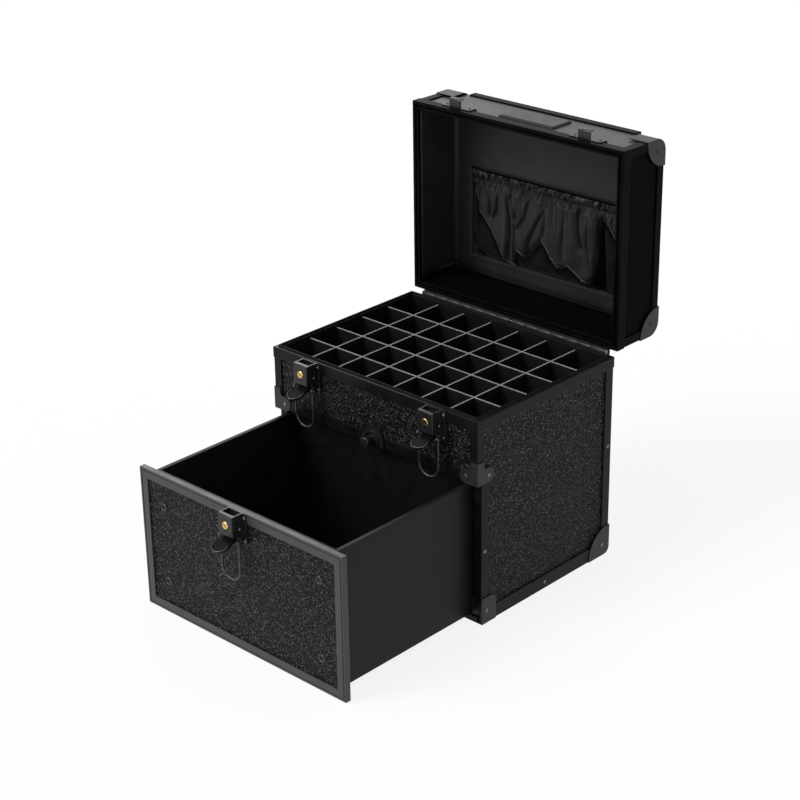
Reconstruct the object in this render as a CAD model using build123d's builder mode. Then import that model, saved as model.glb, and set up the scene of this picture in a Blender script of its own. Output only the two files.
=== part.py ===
from build123d import *
import math
import os

# Nail polish case: a hinged lid over a divided bottle tray, with a pull-out drawer below.
# Millimetres. The origin is the centre of the underside; X runs right, Y back and Z up.
# The lid is drawn closed and then swung open, and the drawer is drawn shut and then
# pulled out, so every fit is worked out in the shut case.

# Overall sizes of the shut case
case_width = 290.0
case_depth = 218.0
base_height = 232.0
lid_height = 70.0
band_height = 70.0

# Boards and aluminium angle
board_thick = 4.0
angle_wall = 1.5
angle_leg = 10.0
rear_angle_leg = 12.0
bottom_angle_height = 16.0
bottom_angle_leg = 12.0
band_trim_height = 12.0
band_trim_leg = 6.0
rim_height = 12.0
rim_proud = 0.7
joint_gap = 0.3
tongue_height = 2.0
tongue_thick = 1.2
tongue_inset = 4.2
groove_clearance = 0.5
groove_depth = 2.8
lid_rim_block = 4.0

# Tray and its dividers
shelf_thick = 4.0
shelf_drop = 3.0
liner_thick = 1.5
divider_thick = 1.5
divider_top_drop = 3.0
divider_clearance = 0.15
cells_across = 7
cells_deep = 5

# Drawer
drawer_front_thick = 6.7
drawer_top_gap = 1.5
drawer_front_lift = 1.5
drawer_frame_width = 11.0
drawer_frame_wall = 1.5
frame_groove_width = 0.9
frame_groove_depth = 0.5
frame_groove_inset = 2.2
seat_gap = 0.3
drawer_side_thick = 5.0
drawer_bottom_thick = 3.0
drawer_side_room = 8.8
drawer_box_top_drop = 2.5
drawer_underside = 8.0
drawer_rear_gap = 3.0
drawer_travel = 191.0
runner_gap = 0.3
runner_width = 12.0
guide_height = 20.0
stop_thick = 5.0
stop_gap = 0.8
stop_lip = 4.5
sill_height = 7.0
sill_leg = 10.0
screw_side_inset = 33.0
screw_end_inset = 36.5
screw_head_radius = 3.2
screw_shank_radius = 1.7
screw_head_depth = 1.6
screw_bite = 3.0

# Hinges
hinge_offset = 4.0
hinge_between = 4.0
hinge_end_gap = 2.3
hinge_knuckles = 7
hinge_leaf = 1.4
hinge_leaf_height = 26.0
hinge_barrel_radius = 3.0
hinge_pin_radius = 1.5
hinge_play = 0.05
knuckle_gap = 0.3
stop_tab_width = 9.0
stop_tab_reach = 10.0
stop_tab_sheet = 2.0
stop_tab_gap = 0.3
stop_tab_drop = 3.0
hinge_leaf_clear = 2.2
hinge_web_height = 3.4
hinge_web_clear = 0.6
hinge_pin_head = 2.3
hinge_pin_head_thick = 1.0
lid_open_angle = 90.0

# Corner fittings
cap_sheet = 1.0
lid_cap_radius = 15.0
lid_cap_reach = 30.0
base_cap_radius = 8.0
base_cap_reach = 34.0
cap_wrap = 24.0
bracket_width = 24.0
bracket_height = 25.0
bracket_lobe = 16.0
bracket_shoulder = 9.0
bracket_bend = 4.0
foot_bracket_width = 22.0
foot_bracket_height = 30.0
foot_bracket_round = 8.0
rivet_radius = 2.2
rivet_height = 0.8
post_rivet_height = 84.0
rear_rivet_height = 130.0
foot_rivet_inset = 7.0
cap_rivet_inset = 12.0
cap_rivet_height = 13.5

# Draw latches: a folded housing with a lock, a paddle and a wire bail
latch_spacing = 177.0
latch_top_drop = 0.5
latch_width = 20.0
latch_depth = 15.0
latch_face_height = 22.5
latch_plate_height = 34.0
latch_plate_width = 30.0
latch_sheet = 1.2
latch_lip = 3.5
latch_top_reach = 4.2
latch_fold = 1.0
latch_rivet_radius = 1.5
latch_rivet_inset = 4.5
latch_rivet_side = 2.6
paddle_pivot_out = 6.0
paddle_pivot_down = 26.5
latch_pin_radius = 1.25
pivot_play = 0.05
ear_radius = 2.9
paddle_rest_angle = 28.0
paddle_plate_angle = 20.0
paddle_rise = 0.9
paddle_length = 26.0
paddle_width = 19.0
paddle_thick = 2.0
paddle_rim = 1.1
paddle_rim_height = 0.5
paddle_rim_reach = 4.0
paddle_side_gap = 0.2
bail_offset = 4.3
bail_pin_radius = 1.0
bail_pin_head = 1.7
bail_wire_radius = 1.2
bail_leg_spacing = 26.0
bail_length = 44.0
bail_eye_radius = 2.4
bail_eye_thick = 1.8
lock_radius = 4.0
lock_drop = 11.5
lock_hole_radius = 0.9
lock_hole_drop = 5.6
lock_proud = 0.4
lock_length = 11.0
keyway_width = 1.2
keyway_length = 5.2
keyway_depth = 6.0
cam_thick = 1.5
cam_reach = 6.4

# Catches on the lid and the drawer catch on the band
catch_width = 16.0
catch_proud = 10.5
catch_wall = 1.2
catch_lip = 4.6
catch_plate_width = 42.0
catch_plate_height = 12.0
catch_plate_thick = 1.0
catch_fit = 0.3
stud_neck_radius = 4.2
stud_head_radius = 6.2
stud_reach = 12.0
stud_head_thick = 3.5
catch_disc_radius = 17.0
catch_ring_radius = 10.0
catch_edge_width = 1.3
catch_edge_height = 0.9

# Name plate, lining, pocket and handle
plate_width = 75.0
plate_height = 32.0
plate_thick = 2.5
plate_bevel = 1.6
lining_thick = 2.0
pocket_width = 226.0
pocket_height = 104.0
pocket_from_rear = 22.0
pocket_depth = 8.0
pocket_cloth = 1.2
pocket_fold_rise = 5.0
pocket_fold_sizes = [0.8, 1.25, 0.9, 1.15, 0.85, 1.2, 0.8, 1.1, 0.95]
pocket_hem = 3.0
handle_length = 116.0
handle_reach = 36.0
handle_thick = 9.0
handle_bar_width = 14.0
handle_arm_width = 9.0
handle_lift = 6.0
handle_pin_radius = 2.5
handle_plate_length = 34.0
handle_plate_width = 26.0
handle_plate_thick = 1.5
handle_lug_thick = 3.0
handle_clearance = 0.3

# Faces of the shut case, worked out from the sizes above
half_width = case_width / 2
half_depth = case_depth / 2
angle_x = half_width - rim_proud
angle_y = half_depth - rim_proud
board_x = angle_x - angle_wall
board_y = angle_y - angle_wall
inner_x = board_x - board_thick
inner_y = board_y - board_thick
front_y = -half_depth
post_y = front_y + drawer_front_thick + seat_gap
band_z = base_height - band_height
band_board_z = band_z + angle_wall
rim_z = base_height - rim_height
board_top = base_height - angle_wall
floor_top = angle_wall + board_thick
drawer_front_z = drawer_front_lift
drawer_front_top = band_z - drawer_top_gap
drawer_front_height = drawer_front_top - drawer_front_z
shelf_z = band_z + shelf_drop
shelf_top = shelf_z + shelf_thick
lid_z = base_height + joint_gap
lid_top = base_height + lid_height
lid_board_z = lid_z + lid_rim_block
lid_board_top = lid_top - angle_wall
lid_ceiling = lid_board_top - board_thick
lid_rim_top = lid_z + rim_height
hinge_y = half_depth + hinge_offset
hinge_reach = angle_x - rear_angle_leg - hinge_end_gap
hinge_width = hinge_reach - hinge_between / 2
hinge_line = Axis((0, hinge_y, base_height), (-1, 0, 0))

os.makedirs("parts", exist_ok=True)


def at_x(x):
    """Plane at x with Y across, Z up and its normal to the right."""
    return Plane.YZ.offset(x)


def at_y(y):
    """Plane at y with X across, Z up and its normal to the front."""
    return Plane.XZ.offset(-y)


def at_z(z):
    """Plane at height z."""
    return Plane.XY.offset(z)


def block(low, high, mode=Mode.ADD):
    """A box between two opposite corners."""
    middle = [(a + b) / 2 for a, b in zip(low, high)]
    size = [b - a for a, b in zip(low, high)]
    with Locations(tuple(middle)):
        Box(*size, mode=mode)


def ring(z, height, half_x, half_y, width, mode=Mode.ADD):
    """A rectangular frame of plain section that lies flat at height z."""
    with BuildSketch(at_z(z)) as outline:
        Rectangle(2 * half_x, 2 * half_y)
        Rectangle(2 * (half_x - width), 2 * (half_y - width), mode=Mode.SUBTRACT)
    extrude(outline.sketch, amount=height, mode=mode)


def corner_face(plane, far, edge, radius):
    """The area from the far corner to the edge corner, which is rounded."""
    way_y = math.copysign(1, edge[0] - far[0])
    way_z = math.copysign(1, edge[1] - far[1])
    turn = radius * (1 - math.sqrt(0.5))
    arc_start = (edge[0], edge[1] - way_z * radius)
    arc_middle = (edge[0] - way_y * turn, edge[1] - way_z * turn)
    arc_end = (edge[0] - way_y * radius, edge[1])
    with BuildSketch(plane) as area:
        with BuildLine():
            Polyline(arc_end, (far[0], edge[1]), far, (edge[0], far[1]), arc_start)
            ThreePointArc(arc_start, arc_middle, arc_end)
        make_face()
    return area.sketch


def shut(part):
    """A piece of the base stays where it is drawn."""
    return part


def swung_open(part):
    """A piece of the lid turns back about the hinge line."""
    return part.rotate(hinge_line, lid_open_angle)


def pulled_out(part):
    """A piece of the drawer moves forward by its travel."""
    return part.moved(Location((0, -drawer_travel, 0)))


def keep(builder, name, place=shut):
    """Put a finished piece where it rests, label it and write it."""
    piece = place(builder.part)
    piece.label = name
    export_step(piece, f"parts/{name}.step")


# Base boards

# The bottom board fills the case between the angles and is rebated over their lower legs.
with BuildPart() as bottom_panel:
    block((-inner_x, post_y + angle_wall, angle_wall), (inner_x, inner_y, floor_top))
    pad_x = angle_x - bottom_angle_leg
    block((-pad_x, post_y + bottom_angle_leg, 0), (pad_x, angle_y - bottom_angle_leg, angle_wall))

# The side boards step forward above the drawer, where the band closes the front.
with BuildPart() as side_boards:
    with BuildSketch(at_x(inner_x)):
        Polygon(
            (board_y, angle_wall),
            (board_y, board_top),
            (-board_y, board_top),
            (-board_y, band_board_z),
            (post_y + angle_wall, band_board_z),
            (post_y + angle_wall, angle_wall),
            align=None,
        )
    extrude(amount=board_thick)

with BuildPart() as back_panel:
    block((-inner_x, inner_y, angle_wall), (inner_x, board_y, board_top))

with BuildPart() as front_band_panel:
    block((-inner_x, -board_y, band_board_z), (inner_x, -inner_y, board_top))

with BuildPart() as tray_shelf:
    block((-inner_x, -inner_y, shelf_z), (inner_x, inner_y, shelf_top))

# Rear bottom corners: the boards are rounded and the angles cut back under the caps.


def base_corner_cut(side, radius, square):
    """What the boards, or the angles if square, lose at one rear bottom corner."""
    far = (angle_y - base_cap_reach, base_cap_reach)
    start = side * (angle_x - cap_wrap)
    with BuildPart() as cut:
        with BuildSketch(at_x(start)):
            with Locations((angle_y, 0)):
                Rectangle(2 * base_cap_reach, 2 * base_cap_reach)
            add(corner_face(Plane.XY, far, (angle_y, cap_sheet), radius), mode=Mode.SUBTRACT)
        extrude(amount=side * (cap_wrap + angle_wall))
        if square:
            reach = radius + cap_sheet
            block_x = sorted((start, side * (angle_x + angle_wall)))
            block((block_x[0], angle_y - reach, 0), (block_x[1], angle_y + reach, reach))
    return cut.part


base_inner_radius = base_cap_radius - cap_sheet
for side_piece in (bottom_panel, side_boards, back_panel):
    with side_piece:
        for side in (-1, 1):
            add(base_corner_cut(side, base_inner_radius, False), mode=Mode.SUBTRACT)

with BuildPart() as right_side_panel:
    add(side_boards.part)

with BuildPart() as left_side_panel:
    add(side_boards.part.mirror(Plane.YZ))

keep(bottom_panel, "bottom_panel")
keep(right_side_panel, "right_side_panel")
keep(left_side_panel, "left_side_panel")
keep(back_panel, "back_panel")
keep(front_band_panel, "front_band_panel")
keep(tray_shelf, "tray_shelf")

# Tray liner and half-lapped dividers

liner_x = inner_x - liner_thick
liner_y = inner_y - liner_thick
divider_top = base_height - divider_top_drop
divider_middle = (shelf_top + divider_top) / 2
cell_x = 2 * liner_x / cells_across
cell_y = 2 * liner_y / cells_deep
lap_width = divider_thick + 2 * divider_clearance
column_x = [-liner_x + cell_x * (i + 1) for i in range(cells_across - 1)]
row_y = [-liner_y + cell_y * (i + 1) for i in range(cells_deep - 1)]

with BuildPart() as tray_liner:
    ring(shelf_top, board_top - shelf_top, inner_x, inner_y, liner_thick)
keep(tray_liner, "tray_liner")

with BuildPart() as long_dividers:
    for y in row_y:
        low = (-liner_x, y - divider_thick / 2, shelf_top)
        block(low, (liner_x, y + divider_thick / 2, divider_top))
        for x in column_x:
            low = (x - lap_width / 2, y - divider_thick, divider_middle)
            high = (x + lap_width / 2, y + divider_thick, divider_top)
            block(low, high, Mode.SUBTRACT)
keep(long_dividers, "long_dividers")

with BuildPart() as cross_dividers:
    for x in column_x:
        low = (x - divider_thick / 2, -liner_y, shelf_top)
        block(low, (x + divider_thick / 2, liner_y, divider_top))
        for y in row_y:
            low = (x - divider_thick, y - lap_width / 2, shelf_top)
            high = (x + divider_thick, y + lap_width / 2, divider_middle + divider_clearance)
            block(low, high, Mode.SUBTRACT)
keep(cross_dividers, "cross_dividers")

# Aluminium angles of the base

# The rim caps the boards, and its tongue enters the groove of the lid's rim.
with BuildPart() as top_rim:
    ring(board_top, angle_wall, half_width, half_depth, half_width - liner_x)
    ring(rim_z, board_top - rim_z, half_width, half_depth, half_width - board_x)
    tongue_x = half_width - tongue_inset
    tongue_y = half_depth - tongue_inset
    ring(base_height, tongue_height, tongue_x, tongue_y, tongue_thick)
keep(top_rim, "top_rim")

with BuildPart() as bottom_edge_profiles:
    ring(0, bottom_angle_height, angle_x, angle_y, angle_wall)
    ring(0, angle_wall, angle_x, angle_y, bottom_angle_leg)
    block((-angle_x, -angle_y, 0), (angle_x, post_y, bottom_angle_height), Mode.SUBTRACT)
    sill_x = inner_x
    block((-sill_x, post_y, 0), (sill_x, post_y + angle_wall, sill_height))
    block((-sill_x, post_y, 0), (sill_x, post_y + bottom_angle_leg, angle_wall))
    block((-sill_x, post_y, floor_top), (sill_x, post_y + sill_leg, sill_height))
    for side in (-1, 1):
        add(base_corner_cut(side, base_inner_radius, True), mode=Mode.SUBTRACT)
keep(bottom_edge_profiles, "bottom_edge_profiles")


def upright_angle(side, y, way_y, z_low, z_high, leg_side, leg_face):
    """An upright angle whose outer corner is at the side face and at y."""
    xs = sorted((side * angle_x, side * (angle_x - leg_face)))
    ys = sorted((y, y + way_y * angle_wall))
    block((xs[0], ys[0], z_low), (xs[1], ys[1], z_high))
    xs = sorted((side * angle_x, side * board_x))
    ys = sorted((y, y + way_y * leg_side))
    block((xs[0], ys[0], z_low), (xs[1], ys[1], z_high))


band_top_z = band_z + band_trim_height
with BuildPart() as vertical_edge_profiles:
    for side in (-1, 1):
        upright_angle(
            side, angle_y, -1, bottom_angle_height, rim_z, rear_angle_leg, rear_angle_leg
        )
        upright_angle(side, -angle_y, 1, band_top_z, rim_z, angle_leg, angle_leg)
        upright_angle(side, post_y, 1, bottom_angle_height, band_z, angle_leg, angle_leg)
        add(base_corner_cut(side, base_inner_radius, True), mode=Mode.SUBTRACT)
keep(vertical_edge_profiles, "vertical_edge_profiles")

# The trim covers the lower edge of the band and turns under it.
with BuildPart() as band_lower_trim:
    block((-angle_x, -angle_y, band_z), (angle_x, -board_y, band_top_z))
    block((-inner_x, -board_y, band_z), (inner_x, -angle_y + band_trim_leg, band_board_z))
keep(band_lower_trim, "band_lower_trim")

# Corner fittings of the base


def bracket_face(plane, way):
    """Outline of one flange: tall at the edge, with a low round lobe for the rivet."""
    shoulder = way * bracket_shoulder
    lobe_top = band_z - cap_sheet + bracket_lobe
    with BuildSketch(plane) as face:
        with Locations((shoulder / 2, band_z - cap_sheet + bracket_height / 2)):
            Rectangle(bracket_shoulder, bracket_height)
        lobe_z = band_z - cap_sheet + bracket_lobe / 2
        lobe_end = bracket_width - bracket_lobe / 2
        with Locations((way * lobe_end / 2, lobe_z)):
            Rectangle(lobe_end, bracket_lobe)
        with Locations((way * lobe_end, lobe_z)):
            Circle(bracket_lobe / 2)
        step = vertices().sort_by_distance((shoulder, lobe_top, 0))[0]
        fillet(step, bracket_bend)
    return face.sketch


with BuildPart() as band_corner_brackets:
    for side in (-1, 1):
        corner = (side * (angle_x + cap_sheet), -angle_y, 0)
        front = Plane(corner, x_dir=(1, 0, 0), z_dir=(0, -1, 0))
        extrude(bracket_face(front, -side), amount=cap_sheet)
        corner = (side * angle_x, -angle_y, 0)
        flank = Plane(corner, x_dir=(0, 1, 0), z_dir=(1, 0, 0))
        extrude(bracket_face(flank, 1), amount=side * cap_sheet)
keep(band_corner_brackets, "band_corner_brackets")

with BuildPart() as front_foot_brackets:
    for side in (-1, 1):
        with BuildSketch(at_x(side * angle_x)):
            with Locations((post_y + foot_bracket_width / 2, foot_bracket_height / 2)):
                Rectangle(foot_bracket_width, foot_bracket_height)
            corner = vertices().sort_by(Axis.Y)[-2:].sort_by(Axis.X)[-1]
            fillet(corner, foot_bracket_round)
        extrude(amount=side * cap_sheet)
keep(front_foot_brackets, "front_foot_brackets")


def corner_cap(side, far, edge, radius, reach):
    """A pressed cap: a strip wrapped round the corner and a round lobe on the side."""
    start = side * (angle_x - cap_wrap)
    way_y = math.copysign(1, edge[0] - far[0])
    way_z = math.copysign(1, edge[1] - far[1])
    outer = (edge[0] + way_y * cap_sheet, edge[1] + way_z * cap_sheet)
    with BuildPart() as cap:
        with BuildSketch(at_x(start)):
            add(corner_face(Plane.XY, far, outer, radius + cap_sheet))
            inside = (far[0] - way_y * cap_sheet, far[1] - way_z * cap_sheet)
            add(corner_face(Plane.XY, inside, edge, radius), mode=Mode.SUBTRACT)
        extrude(amount=side * (cap_wrap + cap_sheet))
        with BuildSketch(at_x(side * angle_x)):
            add(corner_face(Plane.XY, far, outer, radius + cap_sheet))
            with Locations(edge):
                Circle(reach, mode=Mode.INTERSECT)
        extrude(amount=side * cap_sheet)
    return cap.part


with BuildPart() as rear_corner_caps:
    for side in (-1, 1):
        far = (angle_y - base_cap_reach, base_cap_reach)
        add(corner_cap(side, far, (angle_y, cap_sheet), base_inner_radius, base_cap_reach))
keep(rear_corner_caps, "rear_corner_caps")


def side_rivet(x, y, z):
    """A rivet head with a rounded edge on a side face."""
    way = math.copysign(1, x)
    with BuildPart() as rivet:
        with BuildSketch(Plane((x, y, z), x_dir=(0, 1, 0), z_dir=(way, 0, 0))):
            Circle(rivet_radius)
        extrude(amount=rivet_height)
        rim = edges().filter_by(GeomType.CIRCLE).sort_by(Axis.X)
        fillet(rim[-1] if way > 0 else rim[0], rivet_height * 0.8)
    return rivet.part


side_rivets = [
    (angle_x, post_y + angle_leg / 2, post_rivet_height),
    (angle_x, angle_y - rear_angle_leg / 2, rear_rivet_height),
    (angle_x, 0, bottom_angle_height / 2),
    (angle_x + cap_sheet, post_y + foot_rivet_inset, foot_bracket_height / 2),
    (angle_x + cap_sheet, angle_y - cap_rivet_inset, cap_rivet_height),
    (
        angle_x + cap_sheet,
        -angle_y + bracket_width - bracket_lobe / 2,
        band_z - cap_sheet + bracket_lobe / 2,
    ),
]
with BuildPart() as base_rivets:
    for side in (-1, 1):
        for x, y, z in side_rivets:
            add(side_rivet(side * x, y, z))
    bracket_rivet_x = angle_x + cap_sheet - bracket_width + bracket_lobe / 2
    bracket_rivet_z = band_z - cap_sheet + bracket_lobe / 2
    for side in (-1, 1):
        turned = side_rivet(angle_x, 0, 0).rotate(Axis.Z, -90)
        move_y = -angle_y - cap_sheet + angle_x
        add(turned.moved(Location((side * bracket_rivet_x, move_y, bracket_rivet_z))))
keep(base_rivets, "base_rivets")

# Drawer guides and stop on the base

box_half = inner_x - drawer_side_room
drawer_rear_y = inner_y - drawer_rear_gap
with BuildPart() as drawer_guides:
    guide_x = box_half + runner_gap
    guide_z = (drawer_underside, drawer_underside + guide_height)
    runner_x = box_half - 2 * runner_width
    runner_top = drawer_underside - runner_gap
    for side in (-1, 1):
        xs = sorted((side * guide_x, side * inner_x))
        low = (xs[0], post_y + angle_wall, guide_z[0])
        block(low, (xs[1], inner_y, guide_z[1]))
        xs = sorted((side * runner_x, side * (runner_x + runner_width)))
        low = (xs[0], post_y + sill_leg + 1, floor_top)
        block(low, (xs[1], inner_y, runner_top))
keep(drawer_guides, "drawer_guides")

box_top = drawer_front_top - drawer_box_top_drop
drawer_back_y = drawer_rear_y - drawer_side_thick
stop_back = drawer_back_y - drawer_travel - stop_gap
with BuildPart() as drawer_stop:
    low = (-box_half + drawer_side_thick, stop_back - stop_thick, box_top + 1)
    block(low, (box_half - drawer_side_thick, stop_back, shelf_z))
keep(drawer_stop, "drawer_stop")

# Draw latches


def latch_housing(face_y, step_y, step_z, z_top):
    """Folded housing, drawn at x = 0 on a face at face_y that steps back to step_y."""
    half = latch_width / 2
    plate_half = latch_plate_width / 2
    pivot = (face_y - paddle_pivot_out, z_top - paddle_pivot_down)
    front = face_y - latch_depth
    face_low = z_top - latch_face_height
    neck_y = pivot[0] - ear_radius + 0.6
    ear_end = (face_y - 3.5, z_top - latch_plate_height)
    with BuildPart() as housing:
        for side in (-1, 1):
            with BuildSketch(at_x(side * half)):
                Polygon(
                    (face_y, z_top),
                    (front, z_top),
                    (front, face_low),
                    (neck_y, face_low),
                    (neck_y, pivot[1]),
                    (pivot[0], pivot[1] - ear_radius + 0.4),
                    (ear_end[0], pivot[1] - ear_radius),
                    ear_end,
                    (face_y, ear_end[1]),
                    align=None,
                )
                with Locations(pivot):
                    Circle(ear_radius)
                    Circle(latch_pin_radius, mode=Mode.SUBTRACT)
            extrude(amount=-side * latch_sheet)
        block((-half, front, face_low), (half, front + latch_sheet, z_top))
        block((-half, front, z_top - latch_sheet), (half, front + latch_top_reach, z_top))
        folds = edges().filter_by(Axis.Z).group_by(Axis.Y)[0]
        folds += edges().filter_by(Axis.X).group_by(Axis.Y)[0].sort_by(Axis.Z)[-1:]
        fillet(folds, latch_fold)
        low = (-half, front + latch_sheet, z_top - latch_sheet - latch_lip)
        block(low, (half, front + 2 * latch_sheet, z_top - latch_sheet))
        plate_low = z_top - latch_plate_height
        with BuildSketch(at_y(face_y)):
            with Locations((0, (z_top + plate_low) / 2)):
                RectangleRounded(latch_plate_width, latch_plate_height, 4)
        extrude(amount=latch_sheet)
        if step_y > face_y:
            with BuildSketch(at_y(face_y)):
                with Locations((0, (z_top + plate_low) / 2)):
                    RectangleRounded(latch_plate_width, latch_plate_height, 4)
                with Locations((0, step_z + latch_plate_height)):
                    pad_width = 2 * latch_plate_width
                    Rectangle(pad_width, 2 * latch_plate_height, mode=Mode.SUBTRACT)
            extrude(amount=face_y - step_y)
        with BuildSketch(at_y(front)):
            with Locations((0, z_top - lock_drop)):
                Circle(lock_radius + pivot_play)
            with Locations((0, z_top - lock_drop - lock_hole_drop)):
                Circle(lock_hole_radius)
        extrude(amount=-4 * latch_sheet, mode=Mode.SUBTRACT)
        for side in (-1, 1):
            with BuildSketch(at_y(face_y - latch_sheet)):
                for z in (z_top - latch_rivet_inset, plate_low + latch_rivet_inset):
                    with Locations((side * (plate_half - latch_rivet_side), z)):
                        Circle(latch_rivet_radius)
            extrude(amount=rivet_height, taper=30)
            with BuildSketch(at_x(side * half)):
                with Locations((face_y - latch_depth / 3, z_top - latch_face_height * 0.7)):
                    Circle(latch_rivet_radius)
            extrude(amount=side * rivet_height, taper=30)
    return housing.part


def latch_pin(face_y, z_top):
    """The pin that the paddle turns on, held in both ears."""
    pivot = (face_y - paddle_pivot_out, z_top - paddle_pivot_down)
    half = latch_width / 2
    with BuildPart() as pin:
        with BuildSketch(at_x(-half)):
            with Locations(pivot):
                Circle(latch_pin_radius)
        extrude(amount=2 * half)
        for side in (-1, 1):
            with BuildSketch(at_x(side * half)):
                with Locations(pivot):
                    Circle(latch_pin_radius + 0.7)
            extrude(amount=side * 0.8)
    return pin.part


def bail_pivot(face_y, z_top):
    """Where the bail's pin lies when the paddle rests at its open angle."""
    turn = math.radians(paddle_rest_angle)
    y = face_y - paddle_pivot_out - bail_offset * math.cos(turn)
    z = z_top - paddle_pivot_down - bail_offset * math.sin(turn)
    return y, z


def latch_paddle(face_y, z_top):
    """Barrel on the latch pin, a knuckle for the bail's pin, and a rounded thumb plate."""
    half = latch_width / 2 - latch_sheet - paddle_side_gap
    pivot = (face_y - paddle_pivot_out, z_top - paddle_pivot_down)
    bail = bail_pivot(face_y, z_top)
    barrel = latch_pin_radius + 1.1
    knuckle = bail_pin_radius + 1.0
    turn = math.radians(paddle_rest_angle)
    outward = (-math.cos(turn), -math.sin(turn))
    tilt = math.radians(paddle_plate_angle)
    upward = (-math.sin(tilt), math.cos(tilt))
    tip_radius = paddle_width / 2
    plate = Plane(
        (0, pivot[0] + paddle_rise * upward[0], pivot[1] + paddle_rise * upward[1]),
        x_dir=(1, 0, 0),
        z_dir=(0, *upward),
    )
    with BuildPart() as paddle:
        with BuildSketch(at_x(-half)):
            with Locations(pivot):
                Circle(barrel)
            with Locations(bail):
                Circle(knuckle)
            with BuildLine():
                across = (outward[1] * 1.6, -outward[0] * 1.6)
                Polyline(
                    (pivot[0] + across[0], pivot[1] + across[1]),
                    (bail[0] + across[0], bail[1] + across[1]),
                    (bail[0] - across[0], bail[1] - across[1]),
                    (pivot[0] - across[0], pivot[1] - across[1]),
                    close=True,
                )
            make_face()
        extrude(amount=2 * half)
        straight = paddle_length - tip_radius
        with BuildSketch(plate):
            with Locations((0, -straight / 2)):
                Rectangle(2 * half, straight)
            with Locations((0, -straight)):
                Circle(tip_radius)
        extrude(amount=paddle_thick / 2, both=True)
        with BuildSketch(plate.offset(paddle_thick / 2)):
            with Locations((0, -straight)):
                Circle(tip_radius)
                Circle(tip_radius - paddle_rim, mode=Mode.SUBTRACT)
            with Locations((0, paddle_rim_reach + tip_radius - straight)):
                Rectangle(paddle_width, paddle_width, mode=Mode.SUBTRACT)
        extrude(amount=paddle_rim_height)
        for point, radius in ((pivot, latch_pin_radius), (bail, bail_pin_radius)):
            with BuildSketch(at_x(-half)):
                with Locations(point):
                    Circle(radius + pivot_play)
            extrude(amount=2 * half, mode=Mode.SUBTRACT)
    return paddle.part


def latch_bail_pin(face_y, z_top):
    """Headed pin through the paddle that carries the bail's two eyes."""
    point = bail_pivot(face_y, z_top)
    end = bail_leg_spacing / 2 + bail_wire_radius + 0.3
    with BuildPart() as pin:
        with BuildSketch(at_x(-end)):
            with Locations(point):
                Circle(bail_pin_radius)
        extrude(amount=2 * end)
        for side in (-1, 1):
            with BuildSketch(at_x(side * end)):
                with Locations(point):
                    Circle(bail_pin_head)
            extrude(amount=side * 0.8)
    return pin.part


def latch_bail(face_y, z_top):
    """Wire loop that hangs from the bail's pin on two flattened eyes."""
    y, z = bail_pivot(face_y, z_top)
    bend = bail_leg_spacing / 2
    bend_z = z - bail_length + bend
    eye_inner = bail_pin_radius + pivot_play
    with BuildPart() as bail:
        with BuildLine() as route:
            Line((-bend, y, z - bail_eye_radius + 0.4), (-bend, y, bend_z))
            ThreePointArc((-bend, y, bend_z), (0, y, bend_z - bend), (bend, y, bend_z))
            Line((bend, y, bend_z), (bend, y, z - bail_eye_radius + 0.4))
        with BuildSketch(Plane((-bend, y, z - bail_eye_radius + 0.4), z_dir=(0, 0, -1))):
            Circle(bail_wire_radius)
        sweep(path=route.line)
        for side in (-1, 1):
            with BuildSketch(at_x(side * bend)):
                with Locations((y, z)):
                    Circle(bail_eye_radius)
            extrude(amount=bail_eye_thick / 2, both=True)
            with BuildSketch(at_x(side * bend)):
                with Locations((y, z)):
                    Circle(eye_inner)
            extrude(amount=2 * bail_wire_radius, both=True, mode=Mode.SUBTRACT)
    return bail.part


def latch_lock(face_y, z_top):
    """Brass plug with a slanted keyway and a cam on its inner end."""
    front = face_y - latch_depth - lock_proud
    z = z_top - lock_drop
    with BuildPart() as lock:
        with BuildSketch(at_y(front)):
            with Locations((0, z)):
                Circle(lock_radius)
        extrude(amount=-lock_length)
        chamfer(faces().sort_by(Axis.Y)[0].edges(), 0.4)
        with BuildSketch(at_y(front)):
            with Locations(Location((0, z, 0), (0, 0, -35))):
                SlotOverall(keyway_length, keyway_width)
        extrude(amount=-keyway_depth, mode=Mode.SUBTRACT)
        with BuildSketch(at_y(front + lock_length)):
            with Locations((0, z + cam_reach / 2 - 1)):
                SlotOverall(cam_reach + 2, 4.5, rotation=90)
        extrude(amount=-cam_thick)
    return lock.part


def spread(part, xs):
    """Copies of a latch piece at each x."""
    with BuildPart() as row:
        for x in xs:
            add(part.moved(Location((x, 0, 0))))
    return row


latch_x = latch_spacing / 2
band_latch_top = base_height - latch_top_drop
band_latch = (front_y, band_latch_top)
housing = latch_housing(front_y, -board_y, rim_z, band_latch_top)
keep(spread(housing, (-latch_x, latch_x)), "band_latch_bodies")
keep(spread(latch_pin(*band_latch), (-latch_x, latch_x)), "band_latch_pins")
for side_name, x in (("left", -latch_x), ("right", latch_x)):
    keep(spread(latch_lock(*band_latch), (x,)), f"{side_name}_lock_cylinder")
    keep(spread(latch_paddle(*band_latch), (x,)), f"{side_name}_latch_paddle")
    keep(spread(latch_bail_pin(*band_latch), (x,)), f"{side_name}_bail_pin")
    keep(spread(latch_bail(*band_latch), (x,)), f"{side_name}_latch_bail")

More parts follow.
